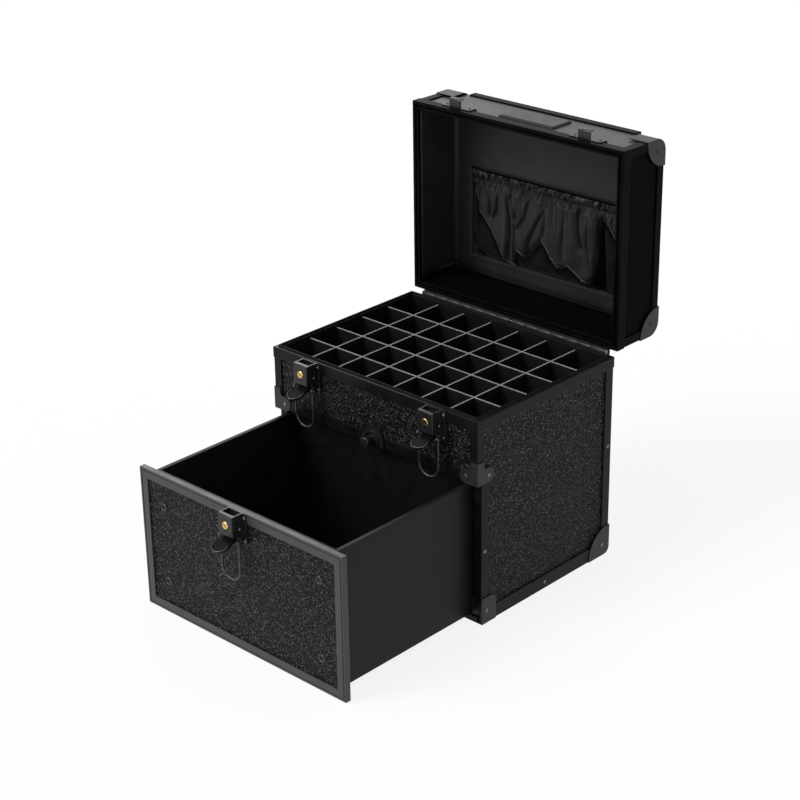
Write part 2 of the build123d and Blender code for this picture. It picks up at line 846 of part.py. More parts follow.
drawer_latch = (front_y, drawer_front_top)
frame_low = drawer_front_top - drawer_frame_width
housing = latch_housing(front_y, front_y + drawer_frame_wall, frame_low, drawer_front_top)
keep(spread(housing, (0,)), "drawer_latch_body", pulled_out)
keep(spread(latch_pin(*drawer_latch), (0,)), "drawer_latch_pin", pulled_out)
keep(spread(latch_lock(*drawer_latch), (0,)), "drawer_lock_cylinder", pulled_out)
keep(spread(latch_paddle(*drawer_latch), (0,)), "drawer_latch_paddle", pulled_out)
keep(spread(latch_bail_pin(*drawer_latch), (0,)), "drawer_bail_pin", pulled_out)
keep(spread(latch_bail(*drawer_latch), (0,)), "drawer_latch_bail", pulled_out)

# Drawer catch: a half-round plate on the band with a headed stud for the drawer's bail

bail_drawn_z = drawer_front_top - paddle_pivot_down - bail_offset + bail_length
stud_z = bail_drawn_z - bail_wire_radius - catch_fit - stud_neck_radius
with BuildPart() as drawer_catch:
    with BuildSketch(at_y(-board_y)):
        with Locations((0, stud_z)):
            Circle(catch_disc_radius)
        with Locations((0, band_z - catch_disc_radius)):
            Rectangle(4 * catch_disc_radius, 2 * catch_disc_radius, mode=Mode.SUBTRACT)
    extrude(amount=angle_wall + cap_sheet)
    plate_face = at_y(-angle_y - cap_sheet)
    with BuildSketch(plate_face):
        with Locations((0, stud_z)):
            Circle(catch_ring_radius)
            Circle(catch_ring_radius - 1.6, mode=Mode.SUBTRACT)
        with Locations((0, band_z - catch_disc_radius)):
            Rectangle(4 * catch_disc_radius, 2 * catch_disc_radius, mode=Mode.SUBTRACT)
    extrude(amount=1.4)
    with BuildSketch(plate_face):
        with Locations((0, stud_z)):
            Circle(catch_disc_radius)
            Circle(catch_disc_radius - catch_edge_width, mode=Mode.SUBTRACT)
        with Locations((0, band_z - catch_disc_radius)):
            Rectangle(4 * catch_disc_radius, 2 * catch_disc_radius, mode=Mode.SUBTRACT)
    extrude(amount=catch_edge_height)
    with BuildSketch(plate_face):
        with Locations((0, stud_z)):
            Circle(stud_neck_radius)
    extrude(amount=stud_reach - stud_head_thick)
    with BuildSketch(at_y(-angle_y - cap_sheet - stud_reach + stud_head_thick)):
        with Locations((0, stud_z)):
            Circle(stud_head_radius)
    extrude(amount=stud_head_thick)
    fillet(faces().sort_by(Axis.Y)[0].edges(), 1.4)
    trim_cut = (-inner_x, -angle_y, band_z - 1)
    block(trim_cut, (inner_x, -board_y, band_top_z), Mode.SUBTRACT)
keep(drawer_catch, "drawer_catch")

# Hinges with a stop under the opened leaf

hinge_centre = (hinge_width + hinge_between) / 2
hinge_xs = (-hinge_centre, hinge_centre)
knuckle = hinge_width / hinge_knuckles


def hinge_leaves(lower):
    """Both leaves of one sort, with their knuckles round the hinge line."""
    way = -1 if lower else 1
    leaf_back = half_depth
    with BuildPart() as leaves:
        for x in hinge_xs:
            first, gap = (0, 0) if lower else (1, knuckle_gap)
            starts = [-hinge_width / 2 + n * knuckle for n in range(first, hinge_knuckles, 2)]
            spans = [(start + gap, start + knuckle - gap) for start in starts]
            z_edge = base_height + way * hinge_leaf_clear
            z_end = base_height + way * hinge_leaf_height
            zs = sorted((z_edge, z_end))
            low = (x - hinge_width / 2, leaf_back, zs[0])
            block(low, (x + hinge_width / 2, leaf_back + hinge_leaf, zs[1]))
            step = rim_z if lower else lid_rim_top
            zs = sorted((step, z_end))
            low = (x - hinge_width / 2, board_y, zs[0])
            block(low, (x + hinge_width / 2, leaf_back, zs[1]))
            for start, end in spans:
                with BuildSketch(at_x(x + start)):
                    with Locations((hinge_y, base_height)):
                        Circle(hinge_barrel_radius)
                    web_end = base_height + way * hinge_web_height
                    web_z = sorted((web_end, base_height + way * hinge_web_clear))
                    with Locations(((leaf_back + hinge_y) / 2, sum(web_z) / 2)):
                        Rectangle(hinge_offset, web_z[1] - web_z[0])
                extrude(amount=end - start)
            with BuildSketch(at_x(x - hinge_width)):
                with Locations((hinge_y, base_height)):
                    Circle(hinge_pin_radius + (0 if lower else hinge_play))
            extrude(amount=2 * hinge_width, mode=Mode.SUBTRACT)
            if lower:
                stop_top = base_height + hinge_offset - hinge_leaf - stop_tab_gap
                stop_out = half_depth + hinge_leaf + stop_tab_reach
                stop_low = base_height - hinge_barrel_radius - stop_tab_drop
                for start in (-hinge_width / 2, hinge_width / 2 - stop_tab_width):
                    low = (x + start, leaf_back, stop_low)
                    high = (x + start + stop_tab_width, stop_out, stop_low + stop_tab_sheet)
                    block(low, high)
                    low = (x + start, stop_out - stop_tab_sheet, stop_low)
                    high = (x + start + stop_tab_width, stop_out, stop_top)
                    block(low, high)
    return leaves


keep(hinge_leaves(True), "hinge_fixed_leaves")
keep(hinge_leaves(False), "hinge_lid_leaves", swung_open)

with BuildPart() as hinge_pins:
    for x in hinge_xs:
        with BuildSketch(at_x(x - hinge_width / 2)):
            with Locations((hinge_y, base_height)):
                Circle(hinge_pin_radius)
        extrude(amount=hinge_width)
        for side in (-1, 1):
            with BuildSketch(at_x(x + side * hinge_width / 2)):
                with Locations((hinge_y, base_height)):
                    Circle(hinge_pin_head)
            extrude(amount=side * hinge_pin_head_thick)
keep(hinge_pins, "hinge_pins")

# Lid boards and angles

lid_inner_radius = lid_cap_radius - cap_sheet


def lid_corner_cut(side, way_y, square):
    """What the boards, or the angles if square, lose at one top corner of the lid."""
    far = (way_y * (angle_y - lid_cap_reach), lid_top - lid_cap_reach)
    start = side * (angle_x - lid_cap_reach)
    edge = (way_y * angle_y, lid_top)
    with BuildPart() as cut:
        with BuildSketch(at_x(start)):
            with Locations(edge):
                Rectangle(2 * lid_cap_reach, 2 * lid_cap_reach)
            add(corner_face(Plane.XY, far, edge, lid_inner_radius), mode=Mode.SUBTRACT)
        extrude(amount=side * (lid_cap_reach + angle_wall))
        if square:
            xs = sorted((start, side * (angle_x + angle_wall)))
            ys = sorted((way_y * (angle_y - lid_inner_radius), way_y * half_depth))
            low = (xs[0], ys[0], lid_top - lid_inner_radius)
            block(low, (xs[1], ys[1], lid_top + 1))
    return cut.part


def cut_lid_corners(square):
    """Take the four top corners off the piece being built."""
    for side in (-1, 1):
        for way_y in (-1, 1):
            add(lid_corner_cut(side, way_y, square), mode=Mode.SUBTRACT)


with BuildPart() as lid_side_panels:
    for side in (-1, 1):
        xs = sorted((side * inner_x, side * board_x))
        block((xs[0], -board_y, lid_board_z), (xs[1], board_y, lid_board_top))
    cut_lid_corners(False)
keep(lid_side_panels, "lid_side_panels", swung_open)

with BuildPart() as lid_front_panel:
    block((-inner_x, -board_y, lid_board_z), (inner_x, -inner_y, lid_board_top))
    cut_lid_corners(False)
keep(lid_front_panel, "lid_front_panel", swung_open)

with BuildPart() as lid_back_panel:
    block((-inner_x, inner_y, lid_board_z), (inner_x, board_y, lid_board_top))
    cut_lid_corners(False)
keep(lid_back_panel, "lid_back_panel", swung_open)

with BuildPart() as lid_top_panel:
    block((-inner_x, -inner_y, lid_ceiling), (inner_x, inner_y, lid_board_top))
    cut_lid_corners(False)
keep(lid_top_panel, "lid_top_panel", swung_open)

# The lid's rim has a groove for the tongue of the base.
lining_x = inner_x - lining_thick
lining_y = inner_y - lining_thick
with BuildPart() as lid_rim:
    ring(lid_z, lid_rim_block, half_width, half_depth, half_width - lining_x)
    ring(lid_board_z, lid_rim_top - lid_board_z, half_width, half_depth, half_width - board_x)
    groove_x = half_width - tongue_inset + groove_clearance
    groove_y = half_depth - tongue_inset + groove_clearance
    groove_width = tongue_thick + 2 * groove_clearance
    ring(lid_z, groove_depth, groove_x, groove_y, groove_width, Mode.SUBTRACT)
keep(lid_rim, "lid_rim", swung_open)

with BuildPart() as lid_edge_profiles:
    ring(lid_board_top, angle_wall, angle_x, angle_y, angle_leg)
    ring(lid_top - angle_leg, angle_leg, angle_x, angle_y, angle_wall)
    for side in (-1, 1):
        for way_y in (-1, 1):
            corner_y = way_y * angle_y
            top = lid_top - angle_leg
            upright_angle(side, corner_y, -way_y, lid_rim_top, top, angle_leg, angle_leg)
    cut_lid_corners(True)
keep(lid_edge_profiles, "lid_edge_profiles", swung_open)

with BuildPart() as lid_corner_caps:
    for side in (-1, 1):
        for way_y in (-1, 1):
            edge = (way_y * angle_y, lid_top)
            far = (way_y * (angle_y - lid_cap_reach), lid_top - lid_cap_reach)
            add(corner_cap(side, far, edge, lid_inner_radius, lid_cap_reach))
            rivet_y = way_y * (angle_y - 0.42 * lid_cap_reach)
            rivet_z = lid_top - 0.42 * lid_cap_reach
            add(side_rivet(side * (angle_x + cap_sheet), rivet_y, rivet_z))
keep(lid_corner_caps, "lid_corner_caps", swung_open)

# Catches on the lid: the bail's bend pulls down on the hook's floor.
pivot_drawn_z = band_latch_top - paddle_pivot_down - bail_offset
bend_inner = bail_leg_spacing / 2 - bail_wire_radius
bend_drop = bend_inner - math.sqrt(bend_inner**2 - (catch_width / 2) ** 2)
bail_inner_z = pivot_drawn_z + bail_length - bail_wire_radius
hook_floor_top = bail_inner_z - bend_drop - catch_fit
with BuildPart() as lid_catches:
    for x in (-latch_x, latch_x):
        floor_z = hook_floor_top - catch_wall
        lip_y = front_y - catch_proud
        with BuildSketch(at_x(x - catch_width / 2)):
            with BuildLine():
                Polyline(
                    (front_y, floor_z),
                    (lip_y, floor_z),
                    (lip_y, hook_floor_top + catch_lip),
                    (lip_y + catch_wall, hook_floor_top + catch_lip),
                    (lip_y + catch_wall, hook_floor_top),
                    (front_y, hook_floor_top),
                    close=True,
                )
            make_face()
            bend = vertices().sort_by(Axis.Y)[:2].sort_by(Axis.X)[0]
            fillet(bend, 2.2)
        extrude(amount=catch_width)
        plate_z = (floor_z, floor_z + catch_plate_height)
        with BuildSketch(at_y(front_y)):
            with Locations((x, sum(plate_z) / 2)):
                RectangleRounded(catch_plate_width, catch_plate_height, 2.5)
        extrude(amount=catch_plate_thick)
        if plate_z[1] > lid_rim_top:
            low = (x - catch_plate_width / 2, front_y, lid_rim_top)
            high = (x + catch_plate_width / 2, -board_y, plate_z[1])
            block(low, high)
        for side in (-1, 1):
            screw_x = x + side * (catch_plate_width / 2 - 5)
            with BuildSketch(at_y(front_y - catch_plate_thick)):
                with Locations((screw_x, sum(plate_z) / 2)):
                    Circle(latch_rivet_radius)
            extrude(amount=rivet_height, taper=30)
keep(lid_catches, "lid_catches", swung_open)

with BuildPart() as lid_name_plate:
    plate_z = (lid_z + lid_top) / 2
    with BuildSketch(at_y(-board_y)):
        with Locations((0, plate_z)):
            Rectangle(plate_width, plate_height)
    extrude(amount=plate_thick)
    chamfer(faces().sort_by(Axis.Y)[0].edges(), plate_bevel)
keep(lid_name_plate, "lid_name_plate", swung_open)

# Padded lining inside the lid
with BuildPart() as lid_lining:
    block((-inner_x, -inner_y, lid_board_z), (inner_x, inner_y, lid_ceiling))
    lining_z = lid_ceiling - lining_thick
    low = (-lining_x, -lining_y, lid_board_z)
    block(low, (lining_x, lining_y, lining_z), Mode.SUBTRACT)
keep(lid_lining, "lid_lining", swung_open)

# Gathered pocket on the ceiling of the lid, sewn to the lining on three sides

pocket_mouth_y = lining_y - pocket_from_rear - pocket_height
pocket_seam_y = lining_y - pocket_from_rear
pocket_half = pocket_width / 2
fold_total = sum(pocket_fold_sizes)


def pocket_edges():
    """Where one fold of the cloth ends and the next begins."""
    x = -pocket_half + pocket_hem
    edges = [x]
    for size in pocket_fold_sizes:
        x += size / fold_total * (pocket_width - 2 * pocket_hem)
        edges.append(x)
    return edges


def pocket_section(y, depth, rise, lean):
    """Cross-section of the cloth: folds that bulge out and dip in by turns."""
    edges = [x + lean for x in pocket_edges()]
    edges[0] -= lean
    edges[-1] -= lean
    level = lining_z - depth
    inner = [(x, level) for x in edges]
    outer = [(x, level - pocket_cloth) for x in edges]
    with BuildSketch(Plane((0, y, 0), x_dir=(1, 0, 0), z_dir=(0, -1, 0))) as section:
        with BuildLine():
            for i, (a, b) in enumerate(zip(outer, outer[1:])):
                sag = -rise if i % 2 == 0 else rise * 0.35
                ThreePointArc(a, ((a[0] + b[0]) / 2, a[1] + sag), b)
            Line(outer[-1], inner[-1])
            for i in reversed(range(len(inner) - 1)):
                a, b = inner[i + 1], inner[i]
                sag = -rise if i % 2 == 0 else rise * 0.35
                ThreePointArc(a, ((a[0] + b[0]) / 2, a[1] + sag), b)
            Line(inner[0], outer[0])
        make_face()
    return section.sketch


with BuildPart() as lid_pocket:
    steps = [
        (0.0, pocket_depth - 1.0, 0.8, 0.0),
        (0.12, pocket_depth - 1.0, 1.2, 0.0),
        (0.45, pocket_depth, pocket_fold_rise, 2.5),
        (0.78, pocket_depth, pocket_fold_rise * 0.7, 4.0),
        (1.0, pocket_depth - 2.0, 1.0, 4.0),
    ]
    for share, depth, rise, lean in steps:
        add(pocket_section(pocket_mouth_y + share * pocket_height, depth, rise, lean))
    loft()
    hem_low = lining_z - pocket_depth - pocket_cloth
    for side in (-1, 1):
        xs = sorted((side * pocket_half, side * (pocket_half - pocket_hem)))
        block((xs[0], pocket_mouth_y, hem_low), (xs[1], pocket_seam_y, lining_z))
    low = (-pocket_half, pocket_seam_y - pocket_hem, hem_low)
    block(low, (pocket_half, pocket_seam_y, lining_z))
keep(lid_pocket, "lid_pocket", swung_open)

# Carry handle on the lid, folded back against it

handle_z = lid_board_top + handle_lift + handle_clearance
handle_half = handle_length / 2
grip_inner = handle_reach - handle_bar_width
with BuildPart() as carry_handle:
    with BuildSketch(at_z(handle_z - handle_thick / 2)):
        with Locations((0, handle_reach / 2)):
            RectangleRounded(handle_length, handle_reach, 3)
        opening_half = handle_half - handle_arm_width
        with Locations((0, grip_inner / 2 - handle_reach / 2)):
            height = grip_inner + handle_reach
            Rectangle(2 * opening_half, height, mode=Mode.SUBTRACT)
    extrude(amount=handle_thick)
    grip_edges = edges().filter_by(Axis.X).filter_by(lambda e: e.length > opening_half)
    fillet(grip_edges, handle_thick * 0.32)
    for side in (-1, 1):
        arm_x = side * (handle_half - handle_arm_width / 2)
        with BuildSketch(at_x(arm_x)):
            with Locations((0, handle_z)):
                Circle(handle_thick / 2)
        extrude(amount=handle_arm_width / 2, both=True)
    with BuildSketch(at_x(-handle_length)):
        with Locations((0, handle_z)):
            Circle(handle_pin_radius + pivot_play)
    extrude(amount=2 * handle_length, mode=Mode.SUBTRACT)
keep(carry_handle, "carry_handle", swung_open)

with BuildPart() as handle_brackets:
    for side in (-1, 1):
        arm_middle = side * (handle_half - handle_arm_width / 2)
        with BuildSketch(at_z(lid_board_top)):
            with Locations((arm_middle, 0)):
                RectangleRounded(handle_plate_width, handle_plate_length, 4)
        extrude(amount=handle_plate_thick)
        outer = handle_half + handle_clearance
        inner = handle_half - handle_arm_width - handle_clearance - handle_lug_thick
        for start in (outer, inner):
            xs = sorted((side * start, side * (start + handle_lug_thick)))
            with BuildSketch(at_x(xs[0])):
                with Locations((0, handle_z)):
                    Circle(handle_pin_radius + 2.2)
                with Locations((0, (lid_board_top + handle_z) / 2)):
                    Rectangle(2 * handle_pin_radius + 4.4, handle_z - lid_board_top)
            extrude(amount=handle_lug_thick)
        xs = sorted((side * inner, side * (outer + handle_lug_thick)))
        with BuildSketch(at_x(xs[0])):
            with Locations((0, handle_z)):
                Circle(handle_pin_radius)
        extrude(amount=xs[1] - xs[0])
keep(handle_brackets, "handle_brackets", swung_open)

# Drawer

front_board_y = (front_y + drawer_frame_wall, front_y + drawer_front_thick)
front_board_x = half_width - drawer_frame_wall
screw_spots = [
    (side * (half_width - screw_side_inset), z)
    for side in (-1, 1)
    for z in (drawer_front_z + screw_end_inset, drawer_front_top - screw_end_inset)
]
screw_tip_y = front_board_y[1] + screw_bite


def screw_space():
    """The room that the four front screws take up."""
    with BuildPart() as space:
        for x, z in screw_spots:
            with BuildSketch(at_y(front_board_y[0])):
                with Locations((x, z)):
                    Circle(screw_head_radius)
            extrude(amount=-screw_head_depth)
            with BuildSketch(at_y(front_board_y[0])):
                with Locations((x, z)):
                    Circle(screw_shank_radius)
            extrude(amount=front_board_y[0] - screw_tip_y)
    return space.part


with BuildPart() as drawer_front_panel:
    low = (-front_board_x, front_board_y[0], drawer_front_z + drawer_frame_wall)
    block(low, (front_board_x, front_board_y[1], drawer_front_top - drawer_frame_wall))
    add(screw_space(), mode=Mode.SUBTRACT)
keep(drawer_front_panel, "drawer_front_panel", pulled_out)

with BuildPart() as drawer_front_frame:
    frame_middle = (drawer_front_z + drawer_front_top) / 2
    with BuildSketch(at_y(front_y)):
        with Locations((0, frame_middle)):
            Rectangle(case_width, drawer_front_height)
            inside = (case_width - 2 * drawer_frame_width, drawer_front_height - 2 * drawer_frame_width)
            Rectangle(*inside, mode=Mode.SUBTRACT)
    extrude(amount=-drawer_frame_wall)
    with BuildSketch(at_y(front_y)):
        with Locations((0, frame_middle)):
            Rectangle(case_width, drawer_front_height)
            wall = 2 * drawer_frame_wall
            Rectangle(case_width - wall, drawer_front_height - wall, mode=Mode.SUBTRACT)
    extrude(amount=-drawer_front_thick)
    with BuildSketch(at_y(front_y)):
        with Locations((0, frame_middle)):
            out = 2 * frame_groove_inset
            Rectangle(case_width - out, drawer_front_height - out)
            inn = out + 2 * frame_groove_width
            Rectangle(case_width - inn, drawer_front_height - inn, mode=Mode.SUBTRACT)
    extrude(amount=-frame_groove_depth, mode=Mode.SUBTRACT)
keep(drawer_front_frame, "drawer_front_frame", pulled_out)

with BuildPart() as drawer_front_screws:
    for x, z in screw_spots:
        with BuildSketch(at_y(front_board_y[0] + 0.4)):
            with Locations((x, z)):
                Circle(screw_head_radius)
        extrude(amount=0.4 - screw_head_depth)
        with BuildSketch(at_y(front_board_y[0] + screw_head_depth)):
            with Locations((x, z)):
                Circle(screw_shank_radius)
        extrude(amount=front_board_y[0] + screw_head_depth - screw_tip_y)
        with BuildSketch(at_y(front_board_y[0] + 0.4)):
            with Locations((x, z)):
                Rectangle(3.6, 0.8, rotation=20)
                Rectangle(0.8, 3.6, rotation=20)
        extrude(amount=-0.8, mode=Mode.SUBTRACT)
keep(drawer_front_screws, "drawer_front_screws", pulled_out)

box_back_y = drawer_rear_y
box_inner = box_half - drawer_side_thick
with BuildPart() as drawer_sides:
    for side in (-1, 1):
        xs = sorted((side * box_inner, side * box_half))
        block((xs[0], front_board_y[1], drawer_underside), (xs[1], box_back_y, box_top))
keep(drawer_sides, "drawer_sides", pulled_out)

with BuildPart() as drawer_back:
    low = (-box_inner, drawer_back_y, drawer_underside)
    block(low, (box_inner, box_back_y, box_top + stop_lip))
keep(drawer_back, "drawer_back", pulled_out)

inner_front_y = front_board_y[1] + drawer_side_thick
with BuildPart() as drawer_inner_front:
    block((-box_inner, front_board_y[1], drawer_underside), (box_inner, inner_front_y, box_top))
    add(screw_space(), mode=Mode.SUBTRACT)
keep(drawer_inner_front, "drawer_inner_front", pulled_out)

with BuildPart() as drawer_bottom:
    low = (-box_inner, inner_front_y, drawer_underside)
    block(low, (box_inner, drawer_back_y, drawer_underside + drawer_bottom_thick))
keep(drawer_bottom, "drawer_bottom", pulled_out)
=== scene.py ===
import math

import bmesh
import bpy
from mathutils import Matrix, Vector, noise


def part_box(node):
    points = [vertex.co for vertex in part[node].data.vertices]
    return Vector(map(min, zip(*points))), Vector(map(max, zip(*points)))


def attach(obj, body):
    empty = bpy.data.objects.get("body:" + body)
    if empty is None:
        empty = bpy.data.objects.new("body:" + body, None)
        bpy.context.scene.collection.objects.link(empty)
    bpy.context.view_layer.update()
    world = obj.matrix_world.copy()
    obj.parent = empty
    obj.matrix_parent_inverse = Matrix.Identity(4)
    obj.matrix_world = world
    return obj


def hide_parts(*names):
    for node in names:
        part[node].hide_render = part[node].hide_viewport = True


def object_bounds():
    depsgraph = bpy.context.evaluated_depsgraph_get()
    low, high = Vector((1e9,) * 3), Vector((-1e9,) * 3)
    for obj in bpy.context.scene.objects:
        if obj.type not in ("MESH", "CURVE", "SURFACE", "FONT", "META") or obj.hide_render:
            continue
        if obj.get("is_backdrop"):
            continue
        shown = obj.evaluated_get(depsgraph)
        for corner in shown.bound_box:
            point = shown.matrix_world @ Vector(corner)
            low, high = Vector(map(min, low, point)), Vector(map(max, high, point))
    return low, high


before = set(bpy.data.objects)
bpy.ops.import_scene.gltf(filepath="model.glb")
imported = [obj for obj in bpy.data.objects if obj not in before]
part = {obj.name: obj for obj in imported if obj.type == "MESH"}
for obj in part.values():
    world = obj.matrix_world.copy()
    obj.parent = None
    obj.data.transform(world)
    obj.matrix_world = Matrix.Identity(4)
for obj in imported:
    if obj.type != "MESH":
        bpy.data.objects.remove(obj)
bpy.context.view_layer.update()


# Base boards
# Two sides, the back and the band over the drawer are 4 mm fibreboard. Each is faced outside
# with black embossed sheet, a hard crackle of raised grains about 2 mm wide, and slides into
# the angles at its edges.
MM = 0.001


def finish(name, roughness, specular=0.5, metallic=0.0):
    """An empty finish: its material, its nodes and its shader, with what is the same all over."""
    made = bpy.data.materials.new(name)
    made.use_nodes = True
    shader = made.node_tree.nodes["Principled BSDF"]
    shader.inputs["Roughness"].default_value = roughness
    shader.inputs["Specular IOR Level"].default_value = specular
    shader.inputs["Metallic"].default_value = metallic
    return made, made.node_tree, shader


def node(tree, kind, **settings):
    made = tree.nodes.new(kind)
    for key, value in settings.items():
        setattr(made, key, value)
    return made


def ramp(tree, value, stops):
    """Turns a value into colours, given as stops of place and grey or colour."""
    made = tree.nodes.new("ShaderNodeValToRGB")
    elements = made.color_ramp.elements
    while len(elements) < len(stops):
        elements.new(0.5)
    for element, (place, colour) in zip(elements, stops):
        element.position = place
        element.color = (colour, colour, colour, 1) if isinstance(colour, float) else (*colour, 1)
    tree.links.new(value, made.inputs["Fac"])
    return made.outputs["Color"]


def relief(tree, shader, height, depth, strength=1.0):
    """Lets a height stand up from the surface by depth metres."""
    bump = node(tree, "ShaderNodeBump")
    bump.inputs["Distance"].default_value = depth
    bump.inputs["Strength"].default_value = strength
    tree.links.new(height, bump.inputs["Height"])
    tree.links.new(bump.outputs["Normal"], shader.inputs["Normal"])


def dress(name, coat, edge=0.0, segments=2):
    """Gives a CAD node its finish and breaks its sharp edges by edge metres."""
    piece = part[name]
    piece.data.materials.clear()
    piece.data.materials.append(coat)
    if edge:
        weld = piece.modifiers.new("joined", "WELD")
        weld.merge_threshold = 0.00002
        rounded = piece.modifiers.new("broken_edges", "BEVEL")
        rounded.width = edge
        rounded.segments = segments
        rounded.profile = 0.5
        rounded.limit_method = "ANGLE"
        rounded.angle_limit = math.radians(40)
        rounded.use_clamp_overlap = True


# The crackle in metres: its grains, how their edges wander, its fine roughness and its depth.
crackle_grain = 0.0020
wander_grain, wander_reach = 0.0026, 0.0016
fine_grain = 0.0016
crackle_depth = 0.0006


def crackled(name, groove_shade_top_highlight_stops):
    """Hard grains with wandering edges, with painted shade in the grooves and painted highlights on
    their tops by the stops given.
    """
    made, tree, shader = finish(name, 0.36, 0.06)
    place = node(tree, "ShaderNodeTexCoord").outputs["Object"]
    wander = node(tree, "ShaderNodeTexNoise")
    wander.inputs["Scale"].default_value = 1 / wander_grain
    wander.inputs["Detail"].default_value = 2
    tree.links.new(place, wander.inputs["Vector"])
    shifted = node(tree, "ShaderNodeVectorMath", operation="MULTIPLY_ADD")
    tree.links.new(wander.outputs["Color"], shifted.inputs[0])
    shifted.inputs[1].default_value = (wander_reach, wander_reach, wander_reach)
    tree.links.new(place, shifted.inputs[2])
    grains = node(tree, "ShaderNodeTexVoronoi", feature="SMOOTH_F1")
    grains.inputs["Scale"].default_value = 1 / crackle_grain
    grains.inputs["Smoothness"].default_value = 0.25
    tree.links.new(shifted.outputs["Vector"], grains.inputs["Vector"])
    fine = node(tree, "ShaderNodeTexNoise")
    fine.inputs["Scale"].default_value = 1 / fine_grain
    fine.inputs["Detail"].default_value = 4
    fine.inputs["Roughness"].default_value = 0.7
    tree.links.new(place, fine.inputs["Vector"])
    heights = node(tree, "ShaderNodeMath", operation="MULTIPLY_ADD")
    tree.links.new(grains.outputs["Distance"], heights.inputs[0])
    heights.inputs[1].default_value = -0.55
    tree.links.new(fine.outputs["Fac"], heights.inputs[2])
    # By height: the grooves between the grains get painted shade and the grain tops painted
    # highlights.
    tree.links.new(ramp(tree, heights.outputs["Value"], groove_shade_top_highlight_stops), shader.inputs["Base Color"])
    relief(tree, shader, heights.outputs["Value"], crackle_depth)
    return made


crackle = crackled(
    "crackle_facing", [(0.14, 0.003), (0.25, 0.008), (0.33, 0.021), (0.41, 0.058), (0.52, 0.13)]
)
# The side boards get a copy of the same crackle with more painted shade in the grooves and brighter
# painted highlights on the grain tops.
side_crackle_painted_light = crackled(
    "side_crackle_painted_light", [(0.14, 0.001), (0.25, 0.005), (0.33, 0.020), (0.41, 0.080), (0.52, 0.22)]
)
for name in ("left_side_panel", "right_side_panel"):
    dress(name, side_crackle_painted_light)
for name in ("back_panel", "front_band_panel"):
    dress(name, crackle)


# Bottom board, tray shelf and tray liner
# Plain 4 mm board under the drawer and under the tray, and the thin liner round the tray's
# cells. All are faced with smooth black paper and sit between the boards of the base.
def faced(name, dark, light, roughness, specular=0.35, grain=0.012, depth=0.00006, metallic=0.0):
    """A smooth black face that varies softly between two greys, with a faint orange peel."""
    made, tree, shader = finish(name, roughness, specular, metallic)
    place = node(tree, "ShaderNodeTexCoord").outputs["Object"]
    cloud = node(tree, "ShaderNodeTexNoise")
    cloud.inputs["Scale"].default_value = 1 / grain
    cloud.inputs["Detail"].default_value = 4
    tree.links.new(place, cloud.inputs["Vector"])
    greys = ramp(tree, cloud.outputs["Fac"], [(0.3, dark), (0.7, light)])
    tree.links.new(greys, shader.inputs["Base Color"])
    tree.links.new(
        ramp(tree, cloud.outputs["Fac"], [(0.3, roughness - 0.05), (0.7, roughness + 0.05)]),
        shader.inputs["Roughness"],
    )
    peel = node(tree, "ShaderNodeTexNoise")
    peel.inputs["Scale"].default_value = 1 / (grain / 12)
    peel.inputs["Detail"].default_value = 2
    tree.links.new(place, peel.inputs["Vector"])
    relief(tree, shader, peel.outputs["Fac"], depth, 0.6)
    return made


paper_face = faced("black_paper_face", 0.002, 0.004, 0.6, 0.12)
for name in ("bottom_panel", "tray_shelf", "tray_liner"):
    dress(name, paper_face)


# Aluminium angles
# Extruded angles run along every edge of the base: the grooved rim round the tray with its
# tongue, the uprights, the bottom ones with the drawer's sill, and the band's lower trim. They
# are anodised black and mitred at the corners, and their broken edges catch the light.
angle_black = faced("anodised_angle", 0.004, 0.007, 0.30, 0.10, 0.02, 0.00003)
for name in ("top_rim", "vertical_edge_profiles", "bottom_edge_profiles", "band_lower_trim"):
    dress(name, angle_black, 0.0005)


# Corner brackets, foot brackets, rear caps and rivets
# Pressed from 1 mm steel, painted black, bent round the corners and held by domed rivets that
# go through the angle into the board.
pressed_black = faced("painted_steel", 0.016, 0.024, 0.34, 0.22, 0.008, 0.00004)
for name in ("band_corner_brackets", "front_foot_brackets", "rear_corner_caps"):
    dress(name, pressed_black, 0.0003)
rivet_black = faced("rivet_black", 0.10, 0.16, 0.22, 0.5, 0.004, 0.00002, 0.8)
dress("base_rivets", rivet_black, 0.0002)


# Tray dividers
# Long and cross strips of 2.6 mm foam board, slotted half way and pushed into each other, so
# that they stand in the liner. Their faces are black and their cut top edge is pale grey.
divider_top = 0.229
cut_depth = 0.0005
foam_cell = 0.003
divider_board, tree, shader = finish("divider_board", 0.7, 0.12)
place = node(tree, "ShaderNodeTexCoord").outputs["Object"]
split = node(tree, "ShaderNodeSeparateXYZ")
tree.links.new(place, split.inputs["Vector"])
edge = node(tree, "ShaderNodeMath", operation="GREATER_THAN")
tree.links.new(split.outputs["Z"], edge.inputs[0])
edge.inputs[1].default_value = divider_top - cut_depth
foam = node(tree, "ShaderNodeTexNoise")
foam.inputs["Scale"].default_value = 1 / foam_cell
tree.links.new(place, foam.inputs["Vector"])
cut = node(tree, "ShaderNodeMix", data_type="RGBA")
tree.links.new(edge.outputs["Value"], cut.inputs["Factor"])
tree.links.new(ramp(tree, foam.outputs["Fac"], [(0.3, 0.003), (0.7, 0.006)]), cut.inputs["A"])
tree.links.new(ramp(tree, foam.outputs["Fac"], [(0.3, 0.20), (0.7, 0.32)]), cut.inputs["B"])
tree.links.new(cut.outputs["Result"], shader.inputs["Base Color"])
relief(tree, shader, foam.outputs["Fac"], 0.0001, 0.5)
for name in ("long_dividers", "cross_dividers"):
    dress(name, divider_board)


# Drawer guides and stop
# Strips of hard nylon screwed inside the base carry and steer the drawer, and a bar under the
# shelf stops its back.
guide_nylon = faced("guide_nylon", 0.006, 0.010, 0.5, 0.25, 0.01, 0.00003)
for name in ("drawer_guides", "drawer_stop"):
    dress(name, guide_nylon, 0.0004)


